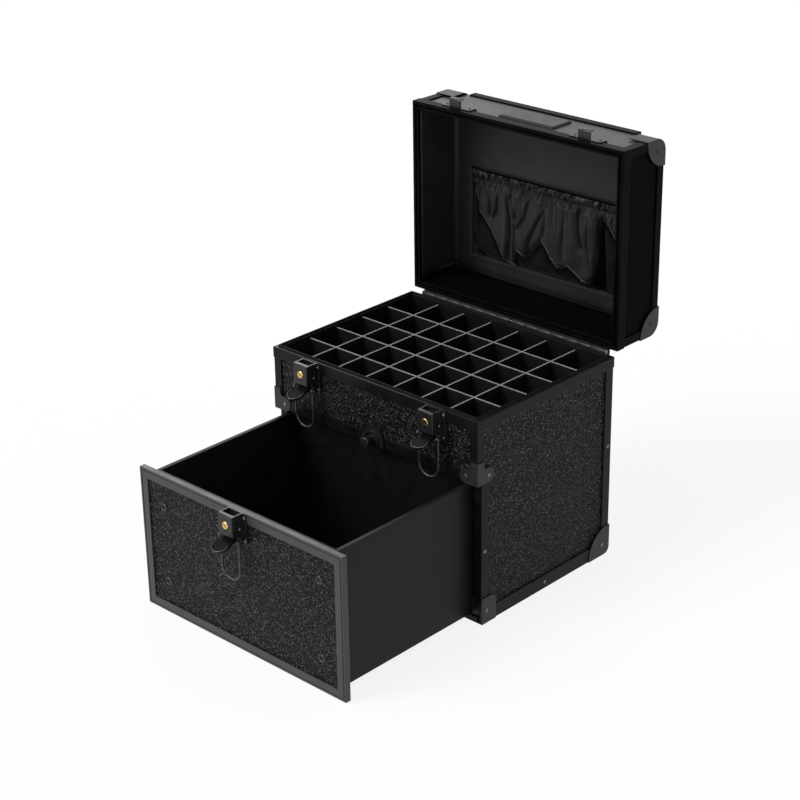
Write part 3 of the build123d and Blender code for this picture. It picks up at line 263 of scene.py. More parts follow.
# Drawer box
# Two sides, a back, an inner front and a thin bottom of smooth black board, glued and stapled
# into an open box.
drawer_face = faced("drawer_board_face", 0.008, 0.011, 0.42, 0.12, 0.03, 0.00003)
for name in ("drawer_sides", "drawer_inner_front"):
    dress(name, drawer_face, 0.0005)
for name in ("drawer_back", "drawer_bottom"):
    dress(name, paper_face, 0.0005)


# Drawer front
# A crackle-faced board in a satin aluminium frame with mitred corners, held to the inner front
# by four cross-headed screws, each in a pressed cup washer.
dress("drawer_front_panel", crackle)
frame_satin = faced("satin_frame", 0.034, 0.042, 0.34, 0.30, 0.03, 0.00003)
dress("drawer_front_frame", frame_satin, 0.0005)
screw_black = faced("screw_black", 0.02, 0.04, 0.22, 0.5, 0.003, 0.00002, 0.5)
dress("drawer_front_screws", screw_black, 0.0002)
cup_steel = faced("cup_steel", 0.05, 0.08, 0.30, 0.5, 0.003, 0.00002, 0.7)


def piece_of(mesh, name, coat, body, smooth=True):
    """Makes a finished bmesh into a piece that rides on a body."""
    data = bpy.data.meshes.new(name)
    mesh.to_mesh(data)
    mesh.free()
    data.materials.append(coat)
    for face in data.polygons:
        face.use_smooth = smooth
    made = bpy.data.objects.new(name, data)
    bpy.context.scene.collection.objects.link(made)
    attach(made, body)
    return made


def joined(*parts):
    """One bmesh from several, each with its faces turned outwards first."""
    whole = bmesh.new()
    carrier = bpy.data.meshes.new("carrier")
    for built in parts:
        bmesh.ops.recalc_face_normals(built, faces=built.faces)
        built.to_mesh(carrier)
        built.free()
        whole.from_mesh(carrier)
    bpy.data.meshes.remove(carrier)
    return whole


def lathed(profile, centre, axis, closed=True, steps=28):
    """Spins a profile of (radius, height) pairs round an axis, heights along that axis."""
    built = bmesh.new()
    side = axis.orthogonal().normalized()
    ring = [
        built.verts.new(centre + side * radius * MM + axis * height * MM)
        for radius, height in profile
    ]
    pairs = list(zip(ring, ring[1:] + ring[:1] if closed else ring[1:]))
    edges = [built.edges.new(pair) for pair in pairs]
    bmesh.ops.spin(
        built, geom=ring + edges, cent=centre, axis=axis, angle=math.tau, steps=steps, use_merge=True
    )
    bmesh.ops.remove_doubles(built, verts=built.verts, dist=0.000005)
    return built


screw_low, screw_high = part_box("drawer_front_screws")
panel_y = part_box("drawer_front_panel")[0][1]
head_radius = 3.2 * MM
cup_profile = ((4.5, 0.0), (4.4, 0.45), (4.0, 0.8), (3.6, 0.7), (2.6, -0.36), (3.1, -0.05))
cups = []
for x in (screw_low[0] + head_radius, screw_high[0] - head_radius):
    for z in (screw_low[2] + head_radius, screw_high[2] - head_radius):
        cups.append(lathed(cup_profile, Vector((x, panel_y, z)), Vector((0, -1, 0))))
screw_cups = piece_of(joined(*cups), "drawer_screw_cups", cup_steel, "drawer")


# Drawer catch
# A half-round steel plate with pressed rings, painted black and riveted to the band's trim. The
# drawer's bail hooks over its stud.
latch_black = faced("latch_black", 0.010, 0.015, 0.26, 0.30, 0.006, 0.00003)
dress("drawer_catch", latch_black, 0.0004, 3)


# Latch housings, paddles, pins and bails
# Each draw latch has a pressed housing riveted to the front, a paddle on a cross pin, and a
# wire bail on its own pin that pulls on the catch when the paddle is pressed home.
paddle_black = faced("paddle_black", 0.003, 0.005, 0.28, 0.10, 0.006, 0.00003)
wire_black = faced("wire_black", 0.020, 0.030, 0.26, 0.45, 0.004, 0.00002)
for name in ("band_latch_bodies", "drawer_latch_body"):
    dress(name, latch_black, 0.0003)
for name in ("band_latch_pins", "drawer_latch_pin"):
    dress(name, rivet_black, 0.0002)
for side in ("left", "right", "drawer"):
    dress(side + "_latch_paddle", paddle_black, 0.0004, 3)
    dress(side + "_bail_pin", wire_black)
    dress(side + "_latch_bail", wire_black)

# A lighter steel line along the round front of each paddle is a painted highlight.
edge_highlight_steel = faced("edge_highlight", 0.05, 0.11, 0.24, 0.5, 0.003, 0.00002, 0.6)
half_spacing = 88.5 * MM
housing_depth = 15.0 * MM
pivot_out, pivot_down, plate_tilt = 6.0 * MM, 26.5 * MM, math.radians(20)
plate_rise, tip_middle = 2.35 * MM, 16.5 * MM
edge_radius, edge_thick, edge_arc = 9.0 * MM, 0.5 * MM, math.radians(224)
outward = Vector((0, -math.cos(plate_tilt), -math.sin(plate_tilt)))
upward = Vector((0, -math.sin(plate_tilt), math.cos(plate_tilt)))
for side, body, middle in (
    ("left", "base", -half_spacing),
    ("right", "base", half_spacing),
    ("drawer", "drawer", 0.0),
):
    housing = "drawer_latch_body" if side == "drawer" else "band_latch_bodies"
    housing_low, housing_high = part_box(housing)
    wall = housing_low[1] + housing_depth
    pivot = Vector((middle, wall - pivot_out, housing_high[2] - pivot_down))
    tip = pivot + outward * tip_middle + upward * plate_rise
    edge = bmesh.new()
    start = Matrix.Rotation(-edge_arc / 2, 3, upward) @ outward
    ring = bmesh.ops.create_circle(edge, cap_ends=False, radius=edge_thick, segments=8)["verts"]
    stood = Matrix((start, upward, start.cross(upward))).transposed().to_4x4()
    placed = Matrix.Translation(tip + start * edge_radius) @ stood
    bmesh.ops.transform(edge, matrix=placed, verts=ring)
    swept = edge.verts[:] + edge.edges[:]
    bmesh.ops.spin(edge, geom=swept, cent=tip, axis=upward, angle=edge_arc, steps=28)
    bmesh.ops.holes_fill(edge, edges=edge.edges)
    paddle_edge = piece_of(joined(edge), side + "_paddle_edge", edge_highlight_steel, side + "_paddle")

# Four domed rivets hold each housing's plate, and one more head shows on each of its sides.
dome = ((0.0, 0.0), (1.7, 0.0), (1.6, 0.5), (1.2, 0.95), (0.6, 1.2), (0.0, 1.28))
plate_rivet_out, plate_rivet_down, plate_rivet_up = 12.4 * MM, 4.5 * MM, 29.5 * MM
side_rivet_out, side_rivet_down, side_rivet_deep = 10.0 * MM, 15.75 * MM, 5.0 * MM
plate_proud = 1.2 * MM
for name, body, housing, centres in (
    ("band_latch_rivets", "base", "band_latch_bodies", (-half_spacing, half_spacing)),
    ("drawer_latch_rivets", "drawer", "drawer_latch_body", (0.0,)),
):
    housing_low, housing_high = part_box(housing)
    top = housing_high[2]
    wall = housing_low[1] + housing_depth
    heads = []
    for middle in centres:
        for side in (-1, 1):
            for drop in (plate_rivet_down, plate_rivet_up):
                spot = Vector((middle + side * plate_rivet_out, wall - plate_proud, top - drop))
                heads.append(lathed(dome, spot, Vector((0, -1, 0)), False, 16))
            x = middle + side * side_rivet_out
            spot = Vector((x, wall - side_rivet_deep, top - side_rivet_down))
            heads.append(lathed(dome, spot, Vector((side, 0, 0)), False, 16))
    latch_rivets = piece_of(joined(*heads), name, rivet_black, body)


# Lock cylinders
# Turned brass barrels with a slanted key slot, pushed through the front of the latch housings.
# Their polish is a little uneven in colour.
turning_grain = 0.0012
brass, tree, shader = finish("lock_brass", 0.25, 0.5, 1.0)
place = node(tree, "ShaderNodeTexCoord").outputs["Object"]
turnings = node(tree, "ShaderNodeTexNoise")
turnings.inputs["Scale"].default_value = 1 / turning_grain
tree.links.new(place, turnings.inputs["Vector"])
tree.links.new(
    ramp(tree, turnings.outputs["Fac"], [(0.35, (0.62, 0.40, 0.13)), (0.7, (0.86, 0.62, 0.26))]),
    shader.inputs["Base Color"],
)
relief(tree, shader, turnings.outputs["Fac"], 0.00004, 0.5)
for side in ("left", "right", "drawer"):
    dress(side + "_lock_cylinder", brass, 0.0002)


# Lid boards
# The lid's top, front, back and sides are 4 mm boards faced with smooth satin black sheet. They
# slide into the angles at their edges, like the boards of the base.
lid_face = faced("lid_board_face", 0.020, 0.028, 0.34, 0.34, 0.03, 0.00003)
for name in ("lid_top_panel", "lid_front_panel", "lid_back_panel"):
    dress(name, lid_face)
# The side boards get a darker, nearly glossless copy of the same sheet: painted shade.
lid_side_painted_shade = faced("lid_side_painted_shade", 0.0016, 0.0026, 0.34, 0.01, 0.03, 0.00003)
dress("lid_side_panels", lid_side_painted_shade)


# Lid rim and edge angles
# The same anodised angles as on the base, with a groove in the rim that takes the tongue.
# The lid's angles get a darker, nearly glossless copy of the anodised finish: painted shade.
rim_painted_shade = faced("anodised_rim", 0.002, 0.004, 0.26, 0.02, 0.02, 0.00003)
for name in ("lid_rim", "lid_edge_profiles"):
    dress(name, rim_painted_shade, 0.0006, 3)


# Lid corner caps
# Pressed steel caps with round corners, painted black. Each is riveted over the place where
# three angles meet.
dress("lid_corner_caps", pressed_black, 0.0003)


# Catches and name plate
# A box-like steel hook with two riveted ears takes each bail. Between the hooks lies a bare
# plate with a raised edge, glued to the lid's front.
dress("lid_catches", latch_black, 0.0004)
plate_black = faced("plate_black", 0.004, 0.007, 0.32, 0.25, 0.01, 0.00002)
dress("lid_name_plate", plate_black, 0.0005)


# Lid lining
# One foam-backed black satin, cut to a cross and glued over the inside of the lid. It turns
# softly at the corners, and ripples lie along the left and bottom edges, where it was pulled.
cloth_low, cloth_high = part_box("lid_lining")
lining_wall = 2.0 * MM
lining_side = cloth_high.x - lining_wall
lining_bottom = cloth_low.z + lining_wall
lining_top = cloth_high.z - lining_wall
lining_back = cloth_high.y - lining_wall
lining_mouth = cloth_low.y
lining_round = 5.0 * MM
lining_mesh = 5.0 * MM
lining_thick = 0.8 * MM
lining_stand, lining_sink = 0.6 * MM, 0.4 * MM
mouth_strip, mouth_ease = 4 * MM, 0.02
tone_spread, thread_pitch = 0.045, 0.0006


def slice_up(mesh, axis, low, high, step):
    """Cuts a mesh across an axis every step metres, so that it can follow soft shapes."""
    count = max(1, round((high - low) / step))
    for n in range(1, count):
        place = Vector((0, 0, 0))
        place[axis] = low + (high - low) * n / count
        across = Vector((0, 0, 0))
        across[axis] = 1
        every = mesh.verts[:] + mesh.edges[:] + mesh.faces[:]
        bmesh.ops.bisect_plane(mesh, geom=every, plane_co=place, plane_no=across)


def bell(value, middle, width):
    """1 at the middle, falling softly to 0 on both sides."""
    return math.exp(-(((value - middle) / width) ** 2))


def lining_ripple(x, z):
    """How far the glued cloth stands off its board at a point of the lid's top, in metres."""
    from_left = x + lining_side
    from_bottom = z - lining_bottom
    waver = noise.noise(Vector((x * 14, z * 14, 3.0)))
    left = bell(from_left, 0.016, 0.012) * math.sin(from_left * 620 + waver * 2.2)
    bottom = bell(from_bottom, 0.013, 0.010) * math.sin(from_bottom * 700 + waver * 2.0)
    slack = noise.noise(Vector((x * 9, z * 11, 0.0)))
    slack += 0.5 * noise.noise(Vector((x * 26, z * 9, 7.0)))
    pull = bell(x, -0.075, 0.03) * math.sin((x * 0.55 + z) * 240)
    pull *= max(0.0, min(1.0, (z - 0.36) / 0.03)) * bell(z, 0.385, 0.022)
    return (0.9 * left + 0.9 * bottom + 0.55 * slack + 0.35 * pull) * MM


lining_cloth, tree, shader = finish("lining_satin", 0.42, 0.24)
shader.inputs["Sheen Roughness"].default_value = 0.4
place = node(tree, "ShaderNodeTexCoord").outputs["Object"]
tone = node(tree, "ShaderNodeTexNoise")
tone.inputs["Scale"].default_value = 1 / tone_spread
tree.links.new(place, tone.inputs["Vector"])
weave = node(tree, "ShaderNodeTexVoronoi")
weave.inputs["Scale"].default_value = 1 / thread_pitch
tree.links.new(place, weave.inputs["Vector"])
woven = node(tree, "ShaderNodeMath", operation="MULTIPLY_ADD")
tree.links.new(weave.outputs["Distance"], woven.inputs[0])
woven.inputs[1].default_value = 0.35
tree.links.new(tone.outputs["Fac"], woven.inputs[2])
# Towards the bottom wall the satin darkens and loses its gloss and sheen: painted shade.
floor_height = node(tree, "ShaderNodeSeparateXYZ")
tree.links.new(place, floor_height.inputs["Vector"])
painted_shade_rise = node(tree, "ShaderNodeMapRange")
tree.links.new(floor_height.outputs["Z"], painted_shade_rise.inputs["Value"])
painted_shade_rise.inputs["From Min"].default_value = lining_bottom + lining_round * 0.3
painted_shade_rise.inputs["From Max"].default_value = lining_bottom + lining_round * 2.4
painted_shade_rise.inputs["To Min"].default_value = 0.06
painted_low_shade = node(tree, "ShaderNodeMix", data_type="RGBA", blend_type="MULTIPLY")
painted_low_shade.inputs["Factor"].default_value = 1.0
tree.links.new(ramp(tree, woven.outputs["Value"], [(0.35, 0.009), (0.95, 0.018)]), painted_low_shade.inputs["A"])
tree.links.new(painted_shade_rise.outputs["Result"], painted_low_shade.inputs["B"])
tree.links.new(painted_low_shade.outputs["Result"], shader.inputs["Base Color"])
shaded_gloss = node(tree, "ShaderNodeMath", operation="MULTIPLY")
shaded_gloss.inputs[1].default_value = 0.20
tree.links.new(painted_shade_rise.outputs["Result"], shaded_gloss.inputs[0])
tree.links.new(shaded_gloss.outputs["Value"], shader.inputs["Specular IOR Level"])
tree.links.new(shaded_gloss.outputs["Value"], shader.inputs["Sheen Weight"])
relief(tree, shader, weave.outputs["Distance"], 0.00006, 0.5)

lining = bmesh.new()
bmesh.ops.create_cube(lining, size=1)
bmesh.ops.scale(
    lining,
    vec=(2 * lining_side, lining_back - lining_mouth, lining_top - lining_bottom),
    verts=lining.verts,
)
middle = Vector((0, (lining_back + lining_mouth) / 2, (lining_top + lining_bottom) / 2))
bmesh.ops.translate(lining, vec=middle, verts=lining.verts)
front = [f for f in lining.faces if f.normal.y < -0.9]
bmesh.ops.delete(lining, geom=front, context="FACES_ONLY")
inner_edges = [e for e in lining.edges if not e.is_boundary]
bmesh.ops.bevel(
    lining, geom=inner_edges, offset=lining_round, segments=4, profile=0.5, affect="EDGES", material=-1
)
slice_up(lining, 0, -lining_side, lining_side, lining_mesh)
slice_up(lining, 2, lining_bottom, lining_top, lining_mesh)
slice_up(lining, 1, lining_mouth, lining_back, lining_mesh)
bmesh.ops.reverse_faces(lining, faces=lining.faces)
lining.normal_update()
for point in lining.verts:
    if point.co.y > lining_back - 0.1 * MM:
        ripple = lining_ripple(point.co.x, point.co.z)
        point.co.y -= lining_stand + max(-lining_sink, ripple)
    elif point.co.y > lining_mouth + mouth_strip:
        soft = noise.noise(point.co * 22) + 0.4 * noise.noise(point.co * 60)
        reach = min(1.0, (point.co.y - lining_mouth) / mouth_ease)
        point.co += point.normal * (0.5 + 0.6 * soft) * MM * reach
lid_lining = piece_of(lining, "lining_cloth", lining_cloth, "lid")
thick = lid_lining.modifiers.new("cloth_thickness", "SOLIDIFY")
thick.thickness = lining_thick
thick.offset = -1
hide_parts("lid_lining")


# Lid pocket
# A pocket of the same satin, cut a third wider than it sits, gathered on an elastic band
# along its mouth and sewn to the lining through a flat hem at its sides and bottom. The spare
# cloth hangs from the band in uneven folds, with their light and shade painted into its colour,
# and a near-black strip along the mouth is painted shadow of the gap above the band.
pocket_low, pocket_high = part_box("lid_pocket")
pocket_width = pocket_high.x - pocket_low.x
pocket_height = pocket_high.z - pocket_low.z
pocket_back = pocket_high.y
pocket_thick = 0.5 * MM
# In mm: the elastic band, how far in from its edges the pocket rises, and how far it stands off
# where it is plain, what the full cloth adds, and the least and the most.
band_height = 9.0
side_slope, bottom_slope, hang_slope = 13.0, 12.0, 10.0
plain_stand, full_stand, least_stand, most_stand = 5.2, 4.6, 0.9, 13.6
# Where the full cloth ends and falls back to the lining: distance from the left edge and down
# from the mouth, in mm.
fall_line = [
    (0, 16), (10, 17), (14, 30), (18, 47), (25, 55), (33, 63), (45, 82), (57, 99), (66, 107),
    (70, 106), (72, 84), (76, 84), (83, 87), (90, 83), (100, 72), (109, 63), (114, 69), (121, 80),
    (130, 88), (139, 86), (146, 83), (155, 89), (165, 95), (174, 96), (181, 90), (185, 62),
    (188, 36), (193, 22), (197, 20), (201, 26), (206, 34), (212, 42), (220, 52), (226, 64),
    (232, 82), (260, 90),
]
# Each crease: where it leaves the band, where it ends, its half width and its height, in mm.
creases = [
    (4.0, 74.0, 27.0, 106.0, 2.8, -2.4),
    (20.0, 16.0, 22.0, 44.0, 2.2, -2.0),
    (31.0, 18.0, 38.0, 50.0, 2.0, -2.4),
    (49.0, 22.0, 40.0, 52.0, 2.0, -2.6),
    (57.0, 20.0, 60.0, 92.0, 2.2, 2.4),
    (62.0, 20.0, 64.0, 96.0, 2.2, -3.2),
    (67.0, 18.0, 73.0, 46.0, 2.2, -2.6),
    (93.0, 20.0, 76.0, 56.0, 2.6, -2.2),
    (109.0, 30.0, 86.0, 84.0, 2.8, -2.4),
    (112.0, 16.0, 113.0, 58.0, 2.0, -2.2),
    (139.0, 18.0, 139.0, 84.0, 2.4, -2.2),
    (160.0, 14.0, 163.0, 60.0, 3.2, -3.6),
    (172.0, 30.0, 179.0, 86.0, 2.0, -1.8),
    (192.0, 16.0, 190.0, 106.0, 4.6, -5.2),
    (204.0, 14.0, 222.0, 50.0, 2.4, -1.8),
    (214.0, 28.0, 219.0, 48.0, 2.0, -1.6),
]


def ease(value):
    value = max(0.0, min(1.0, value))
    return value * value * (3 - 2 * value)


def pocket_form(s, t):
    """How far the pocket stands off the lining, in mm, and how much painted light and shade its folds
    get, from 0 to 1.
    s is measured from its left edge and t down from its mouth."""
    across = pocket_width / MM
    down = pocket_height / MM
    side = ease(min(s, across - s) / side_slope)
    bottom = ease((down - t) / bottom_slope)
    stand = plain_stand * side
    hang = ease((t - band_height) / hang_slope)
    for (s_from, t_from), (s_to, t_to) in zip(fall_line, fall_line[1:]):
        if s_from <= s <= s_to:
            slope = (t_to - t_from) / (s_to - s_from)
            above = (t_from + slope * (s - s_from) - t) / math.hypot(1, slope)
    stand += full_stand * ease((above + 1.0) / 7.0) * hang
    # Painted shade just below where the full cloth falls back, and a painted highlight along the edge
    # above it.
    shade = 0.20 * bell(above, -2.4, 3.6)
    rim = 0.26 * bell(above, 1.8, 1.3)
    light = 0.34 + 0.52 * ease((above + 0.6) / 2.2) + rim - shade
    for s_top, t_top, s_end, t_end, half, height in creases:
        along = (t - t_top) / (t_end - t_top)
        if -0.1 < along < 1.1:
            line = s_top + (s_end - s_top) * along + 1.6 * math.sin(along * 5 + s_top)
            width = half * (0.7 + 0.9 * max(0.0, along))
            fade = ease((along + 0.1) / 0.2) * ease((1.1 - along) / 0.25)
            fold = bell(s, line, width) * fade
            stand += height * fold
            # Ridges get a painted highlight and grooves painted shade.
            light *= 1 + 0.3 * fold if height > 0 else 1 - min(0.85, -0.2 * height) * fold
    ruffle = noise.noise(Vector((s * 0.26, t * 0.02, 1.0)))
    ruffle += 0.6 * noise.noise(Vector((s * 0.55, t * 0.05, 5.0)))
    stand += 3.2 * ruffle * math.exp(-max(0.0, t - band_height) / 13.0) * ease(t / 3.0)
    soft = noise.noise(Vector((s * 0.05, t * 0.03, 9.0)))
    soft += 0.4 * noise.noise(Vector((s * 0.13, t * 0.06, 4.0)))
    stand += 1.5 * soft * hang
    # Over the band, its pinches get painted light and shade.
    if t < band_height:
        band = math.sin(math.pi * (t / band_height))
        pinch = noise.noise(Vector((s * 0.24, t * 0.16, 2.0)))
        stand = 4.2 * side + 0.7 * band + 2.2 * pinch * band
        light = 0.62 + 0.9 * pinch
    stand -= 1.3 * bell(t, band_height, 1.1)
    # Painted shade along and just under the band's lower edge.
    light *= 1 - 0.35 * bell(t, band_height, 2.2)
    light *= 1 - 0.55 * bell(t, band_height + 5.0, 4.5)
    stand = least_stand + max(0.0, stand) * side
    stand = min(most_stand, stand * bottom + least_stand * (1 - bottom))
    return stand, max(0.03, light)


pocket_cloth = lining_cloth.copy()
pocket_cloth.name = "pocket_satin"
tree = pocket_cloth.node_tree
shader = tree.nodes["Principled BSDF"]
# The fold_light attribute scales the colour, the gloss and the sheen: the folds' painted light and
# shade.
folds = node(tree, "ShaderNodeAttribute", attribute_name="fold_light")
for source in ("Base Color", "Specular IOR Level", "Sheen Weight"):
    fed = shader.inputs[source].links[0].from_socket
    dimmed = node(tree, "ShaderNodeVectorMath", operation="SCALE")
    tree.links.new(fed, dimmed.inputs["Vector"])
    tree.links.new(folds.outputs["Fac"], dimmed.inputs["Scale"])
    tree.links.new(dimmed.outputs["Vector"], shader.inputs[source])


pocket = bmesh.new()
bmesh.ops.create_grid(pocket, x_segments=220, y_segments=104, size=0.5)
fold_light = pocket.verts.layers.float.new("fold_light")
for point in pocket.verts:
    s = (point.co.x + 0.5) * pocket_width
    t = (0.5 - point.co.y) * pocket_height
    stand, light = pocket_form(s / MM, t / MM)
    point.co = (pocket_low.x + s, pocket_back - stand * MM, pocket_high.z - t)
    point[fold_light] = light
bmesh.ops.recalc_face_normals(pocket, faces=pocket.faces)
lid_pocket = piece_of(pocket, "gathered_pocket", pocket_cloth, "lid")
thick = lid_pocket.modifiers.new("cloth_thickness", "SOLIDIFY")
thick.thickness = pocket_thick
thick.offset = 0
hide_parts("lid_pocket")

# A near-black strip along the pocket's mouth is painted shadow, standing for the shade in the gap
# above the band.
mouth_shadow_black = faced("mouth_shadow_black", 0.0008, 0.0014, 0.8, 0.02, 0.003, 0.00004)
mouth_shadow_short, mouth_shadow_step = 2 * MM, 3 * MM
mouth_shadow_thick, mouth_shadow_tall, mouth_shadow_rise = 1.5 * MM, 1.9 * MM, 0.3 * MM
mouth_shadow_sunk = 0.4
mouth_shadow = bmesh.new()
bmesh.ops.create_cube(mouth_shadow, size=1)
bmesh.ops.scale(
    mouth_shadow, vec=(pocket_width - mouth_shadow_short, mouth_shadow_thick, mouth_shadow_tall), verts=mouth_shadow.verts
)
slice_up(mouth_shadow, 0, -pocket_width / 2, pocket_width / 2, mouth_shadow_step)
for point in mouth_shadow.verts:
    stand = pocket_form(point.co.x / MM + pocket_width / 2 / MM, 0)[0]
    out = pocket_back - (stand - mouth_shadow_sunk) * MM
    point.co += Vector((0, out, pocket_high.z + mouth_shadow_rise))
pocket_mouth_shadow = piece_of(mouth_shadow, "pocket_mouth_shadow", mouth_shadow_black, "lid", smooth=False)

# Pocket hem
# A flat tape of the lining satin over the pocket's raw edges, sewn down by one row of black
# thread.
hem_half = 3.0 * MM
hem_top_gap = 2.0 * MM
hem_thick = 0.7 * MM
hem_waver = 0.35 * MM
hem_edge = 0.3 * MM
hem_step = 6 * MM
hem_out = 1.4 * MM
hem = bmesh.new()
hem_y = pocket_back - hem_out
hem_bottom = pocket_low.z - hem_half
hem_top = pocket_high.z - hem_top_gap
for left, low, right, high in (
    (pocket_low.x - hem_half, hem_bottom, pocket_low.x + hem_half, hem_top),
    (pocket_high.x - hem_half, hem_bottom, pocket_high.x + hem_half, hem_top),
    (pocket_low.x - hem_half, hem_bottom, pocket_high.x + hem_half, pocket_low.z + hem_half),
):
    made = bmesh.ops.create_cube(hem, size=1)["verts"]
    bmesh.ops.scale(hem, vec=(right - left, hem_thick, high - low), verts=made)
    bmesh.ops.translate(hem, vec=((left + right) / 2, hem_y, (low + high) / 2), verts=made)
slice_up(hem, 0, pocket_low.x, pocket_high.x, hem_step)
slice_up(hem, 2, pocket_low.z, pocket_high.z, hem_step)
for point in hem.verts:
    point.co.y -= hem_waver * noise.noise(point.co * 60)
pocket_hem = piece_of(hem, "pocket_hem", lining_cloth, "lid", smooth=False)
rounded = pocket_hem.modifiers.new("soft_edges", "BEVEL")
rounded.width = hem_edge
rounded.segments = 2
rounded.limit_method = "ANGLE"

thread_black = faced("sewing_thread", 0.03, 0.05, 0.6, 0.3, 0.001, 0.00003)
stitch_pitch, stitch_long, stitch_wide = 3.2 * MM, 2.2 * MM, 0.5 * MM
stitch_out = 0.1 * MM
thread_thick = 0.4 * MM
stitches = bmesh.new()
stitch_y = hem_y - hem_thick / 2 - stitch_out


def stitch(x, z, upright):
    """One stitch of thread that lies on the hem."""
    made = bmesh.ops.create_cube(stitches, size=1)["verts"]
    size = (stitch_long, thread_thick, stitch_wide)
    if upright:
        size = size[::-1]
    sunk = hem_waver * noise.noise(Vector((x, hem_y, z)) * 60)
    bmesh.ops.scale(stitches, vec=size, verts=made)
    bmesh.ops.translate(stitches, vec=(x, stitch_y - sunk, z), verts=made)


for n in range(int((pocket_height - 2 * hem_top_gap) / stitch_pitch)):
    for x in (pocket_low.x, pocket_high.x):
        stitch(x, pocket_low.z + n * stitch_pitch, True)
for n in range(int(pocket_width / stitch_pitch)):
    stitch(pocket_low.x + (n + 0.5) * stitch_pitch, pocket_low.z, False)
pocket_stitches = piece_of(stitches, "pocket_stitches", thread_black, "lid", smooth=False)


# Hinges
# Two long hinges. The two pressed steel leaves of each, riveted to the lid and the base, turn on
# a pin. A strip of black nylon glued along the rim closes the slot between the leaves.
for name in ("hinge_fixed_leaves", "hinge_lid_leaves"):
    dress(name, pressed_black, 0.0003)
dress("hinge_pins", rivet_black)
seal_height, seal_thick = 0.9 * MM, 1.9 * MM
seal_gap, seal_edge = 0.02 * MM, 0.25 * MM
seal = bmesh.new()
hinge_low, hinge_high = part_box("hinge_lid_leaves")
rim_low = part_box("lid_rim")[0]
seal_low = Vector((hinge_low.x, rim_low.y, rim_low.z - seal_height))
seal_high = Vector((hinge_high.x, rim_low.y + seal_thick, rim_low.z - seal_gap))
bmesh.ops.create_cube(seal, size=1)
bmesh.ops.scale(seal, vec=seal_high - seal_low, verts=seal.verts)
bmesh.ops.translate(seal, vec=(seal_low + seal_high) / 2, verts=seal.verts)
lengthwise = [e for e in seal.edges if abs((e.verts[0].co - e.verts[1].co).x) > 0.1]
bmesh.ops.bevel(
    seal, geom=lengthwise, offset=seal_edge, segments=2, profile=0.5, affect="EDGES", material=-1
)
hinge_seal = piece_of(seal, "hinge_seal", guide_nylon, "lid", smooth=False)


# Carry handle
# A moulded handle turns on the pins of two steel brackets, which are riveted to the lid's top,
# and folds down to either side.
dress("handle_brackets", latch_black, 0.0004)
handle_black = faced("handle_plastic", 0.010, 0.015, 0.42, 0.4, 0.004, 0.00008)
dress("carry_handle", handle_black, 0.0008)


# Floor
# A plain white sweep under the case, which keeps its shadow.
floor_reach = 14
floor_lift = 0.86
floor_mesh = bmesh.new()
bmesh.ops.create_grid(floor_mesh, x_segments=2, y_segments=2, size=floor_reach)
floor_data = bpy.data.meshes.new("floor")
floor_mesh.to_mesh(floor_data)
floor_mesh.free()
floor = bpy.data.objects.new("floor", floor_data)
bpy.context.scene.collection.objects.link(floor)
floor_white, tree, shader = finish("floor_white", 0.9, 0.0)
shader.inputs["Base Color"].default_value = (0.96, 0.96, 0.96, 1)
glow = node(tree, "ShaderNodeEmission")
glow.inputs["Color"].default_value = (1, 1, 1, 1)
glow.inputs["Strength"].default_value = 1.0


def looked_at(tree):
    """1 for rays that look at the backdrop straight, in a gloss or through something clear."""
    rays = node(tree, "ShaderNodeLightPath")
    straight = node(tree, "ShaderNodeMath", operation="MAXIMUM")
    tree.links.new(rays.outputs["Is Camera Ray"], straight.inputs[0])
    tree.links.new(rays.outputs["Is Transmission Ray"], straight.inputs[1])
    every = node(tree, "ShaderNodeMath", operation="MAXIMUM")
    tree.links.new(straight.outputs["Value"], every.inputs[0])
    tree.links.new(rays.outputs["Is Glossy Ray"], every.inputs[1])
    return every.outputs["Value"]


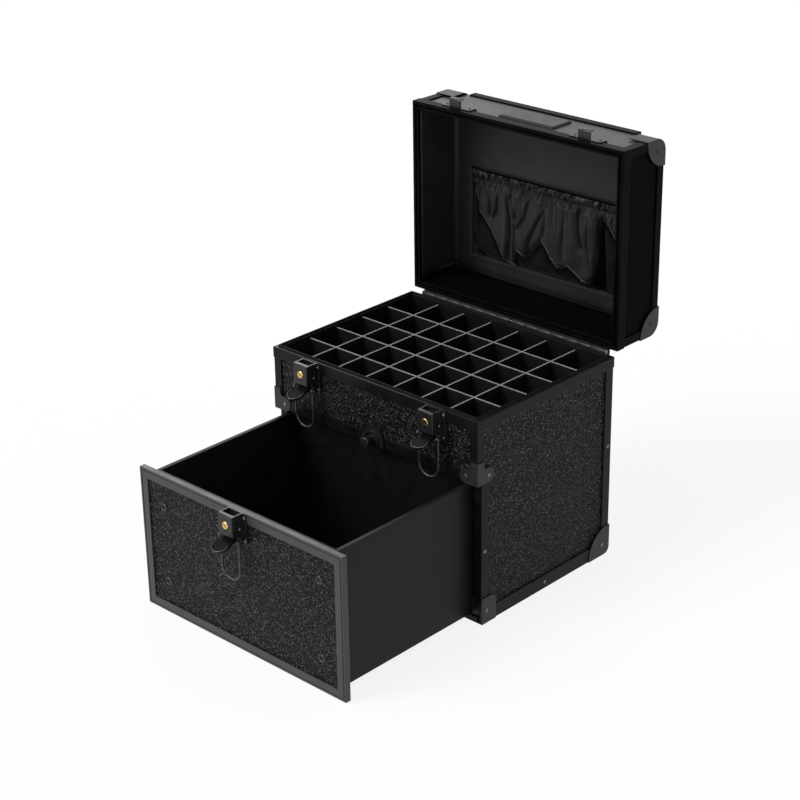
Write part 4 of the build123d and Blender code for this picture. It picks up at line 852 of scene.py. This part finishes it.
lift = node(tree, "ShaderNodeMath", operation="MULTIPLY")
tree.links.new(looked_at(tree), lift.inputs[0])
lift.inputs[1].default_value = floor_lift
lifted = node(tree, "ShaderNodeMixShader")
tree.links.new(lift.outputs["Value"], lifted.inputs["Fac"])
tree.links.new(shader.outputs["BSDF"], lifted.inputs[1])
tree.links.new(glow.outputs["Emission"], lifted.inputs[2])
tree.links.new(lifted.outputs["Shader"], tree.nodes["Material Output"].inputs["Surface"])
floor_data.materials.append(floor_white)
floor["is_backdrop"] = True


# Studio light
# A soft white room, a high lamp from the front left, and a broad softbox behind on the left
# that draws the bright lines along the rims and the sheen on the lid's face.
room_light = 0.48
world = bpy.data.worlds.new("studio")
bpy.context.scene.world = world
world.use_nodes = True
tree = world.node_tree
sky = tree.nodes["Background"]
level = node(tree, "ShaderNodeMapRange")
tree.links.new(looked_at(tree), level.inputs["Value"])
level.inputs["To Min"].default_value = room_light
level.inputs["To Max"].default_value = 1.0
sky.inputs["Color"].default_value = (1, 1, 1, 1)
tree.links.new(level.outputs["Result"], sky.inputs["Strength"])


def lamp(name, kind, place, aim, power, **settings):
    """A lamp at place that looks at aim."""
    light = bpy.data.lights.new(name, kind)
    light.energy = power
    for key, value in settings.items():
        setattr(light, key, value)
    made = bpy.data.objects.new(name, light)
    made.location = place
    made.rotation_euler = (Vector(aim) - Vector(place)).to_track_quat("-Z", "Y").to_euler()
    bpy.context.scene.collection.objects.link(made)


lamp("lamp_high", "SUN", (-1.1, -2.1, 2.3), (0, 0, 0.2), 2.4, angle=math.radians(34))
lamp("softbox_behind", "AREA", (-2.15, 1.5, 1.55), (-0.05, 0.05, 0.35), 9, shape="SQUARE", size=1.0)


# Camera
# A long lens that looks down at the case from the front right, as the photograph does, with a
# slight roll.
camera_data = bpy.data.cameras.new("camera")
camera_data.sensor_width = 36
camera_data.lens = 89.09
camera = bpy.data.objects.new("camera", camera_data)
bpy.context.scene.collection.objects.link(camera)
azimuth = math.radians(43.54)
elevation = math.radians(24.41)
roll = math.radians(-0.86)
distance = 2.16381
target = Vector((-0.06271, 0.0, 0.15677))
back = Vector((
    math.sin(azimuth) * math.cos(elevation),
    -math.cos(azimuth) * math.cos(elevation),
    math.sin(elevation),
))
level_right = Vector((math.cos(azimuth), math.sin(azimuth), 0))
level_up = back.cross(level_right)
right = level_right * math.cos(roll) + level_up * math.sin(roll)
up = level_up * math.cos(roll) - level_right * math.sin(roll)
turn = Matrix((right, up, back)).transposed()
camera.matrix_world = Matrix.Translation(target + back * distance) @ turn.to_4x4()
camera_data.clip_end = 60
bpy.context.scene.camera = camera
bpy.context.scene.view_settings.view_transform = "Standard"


low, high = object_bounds()
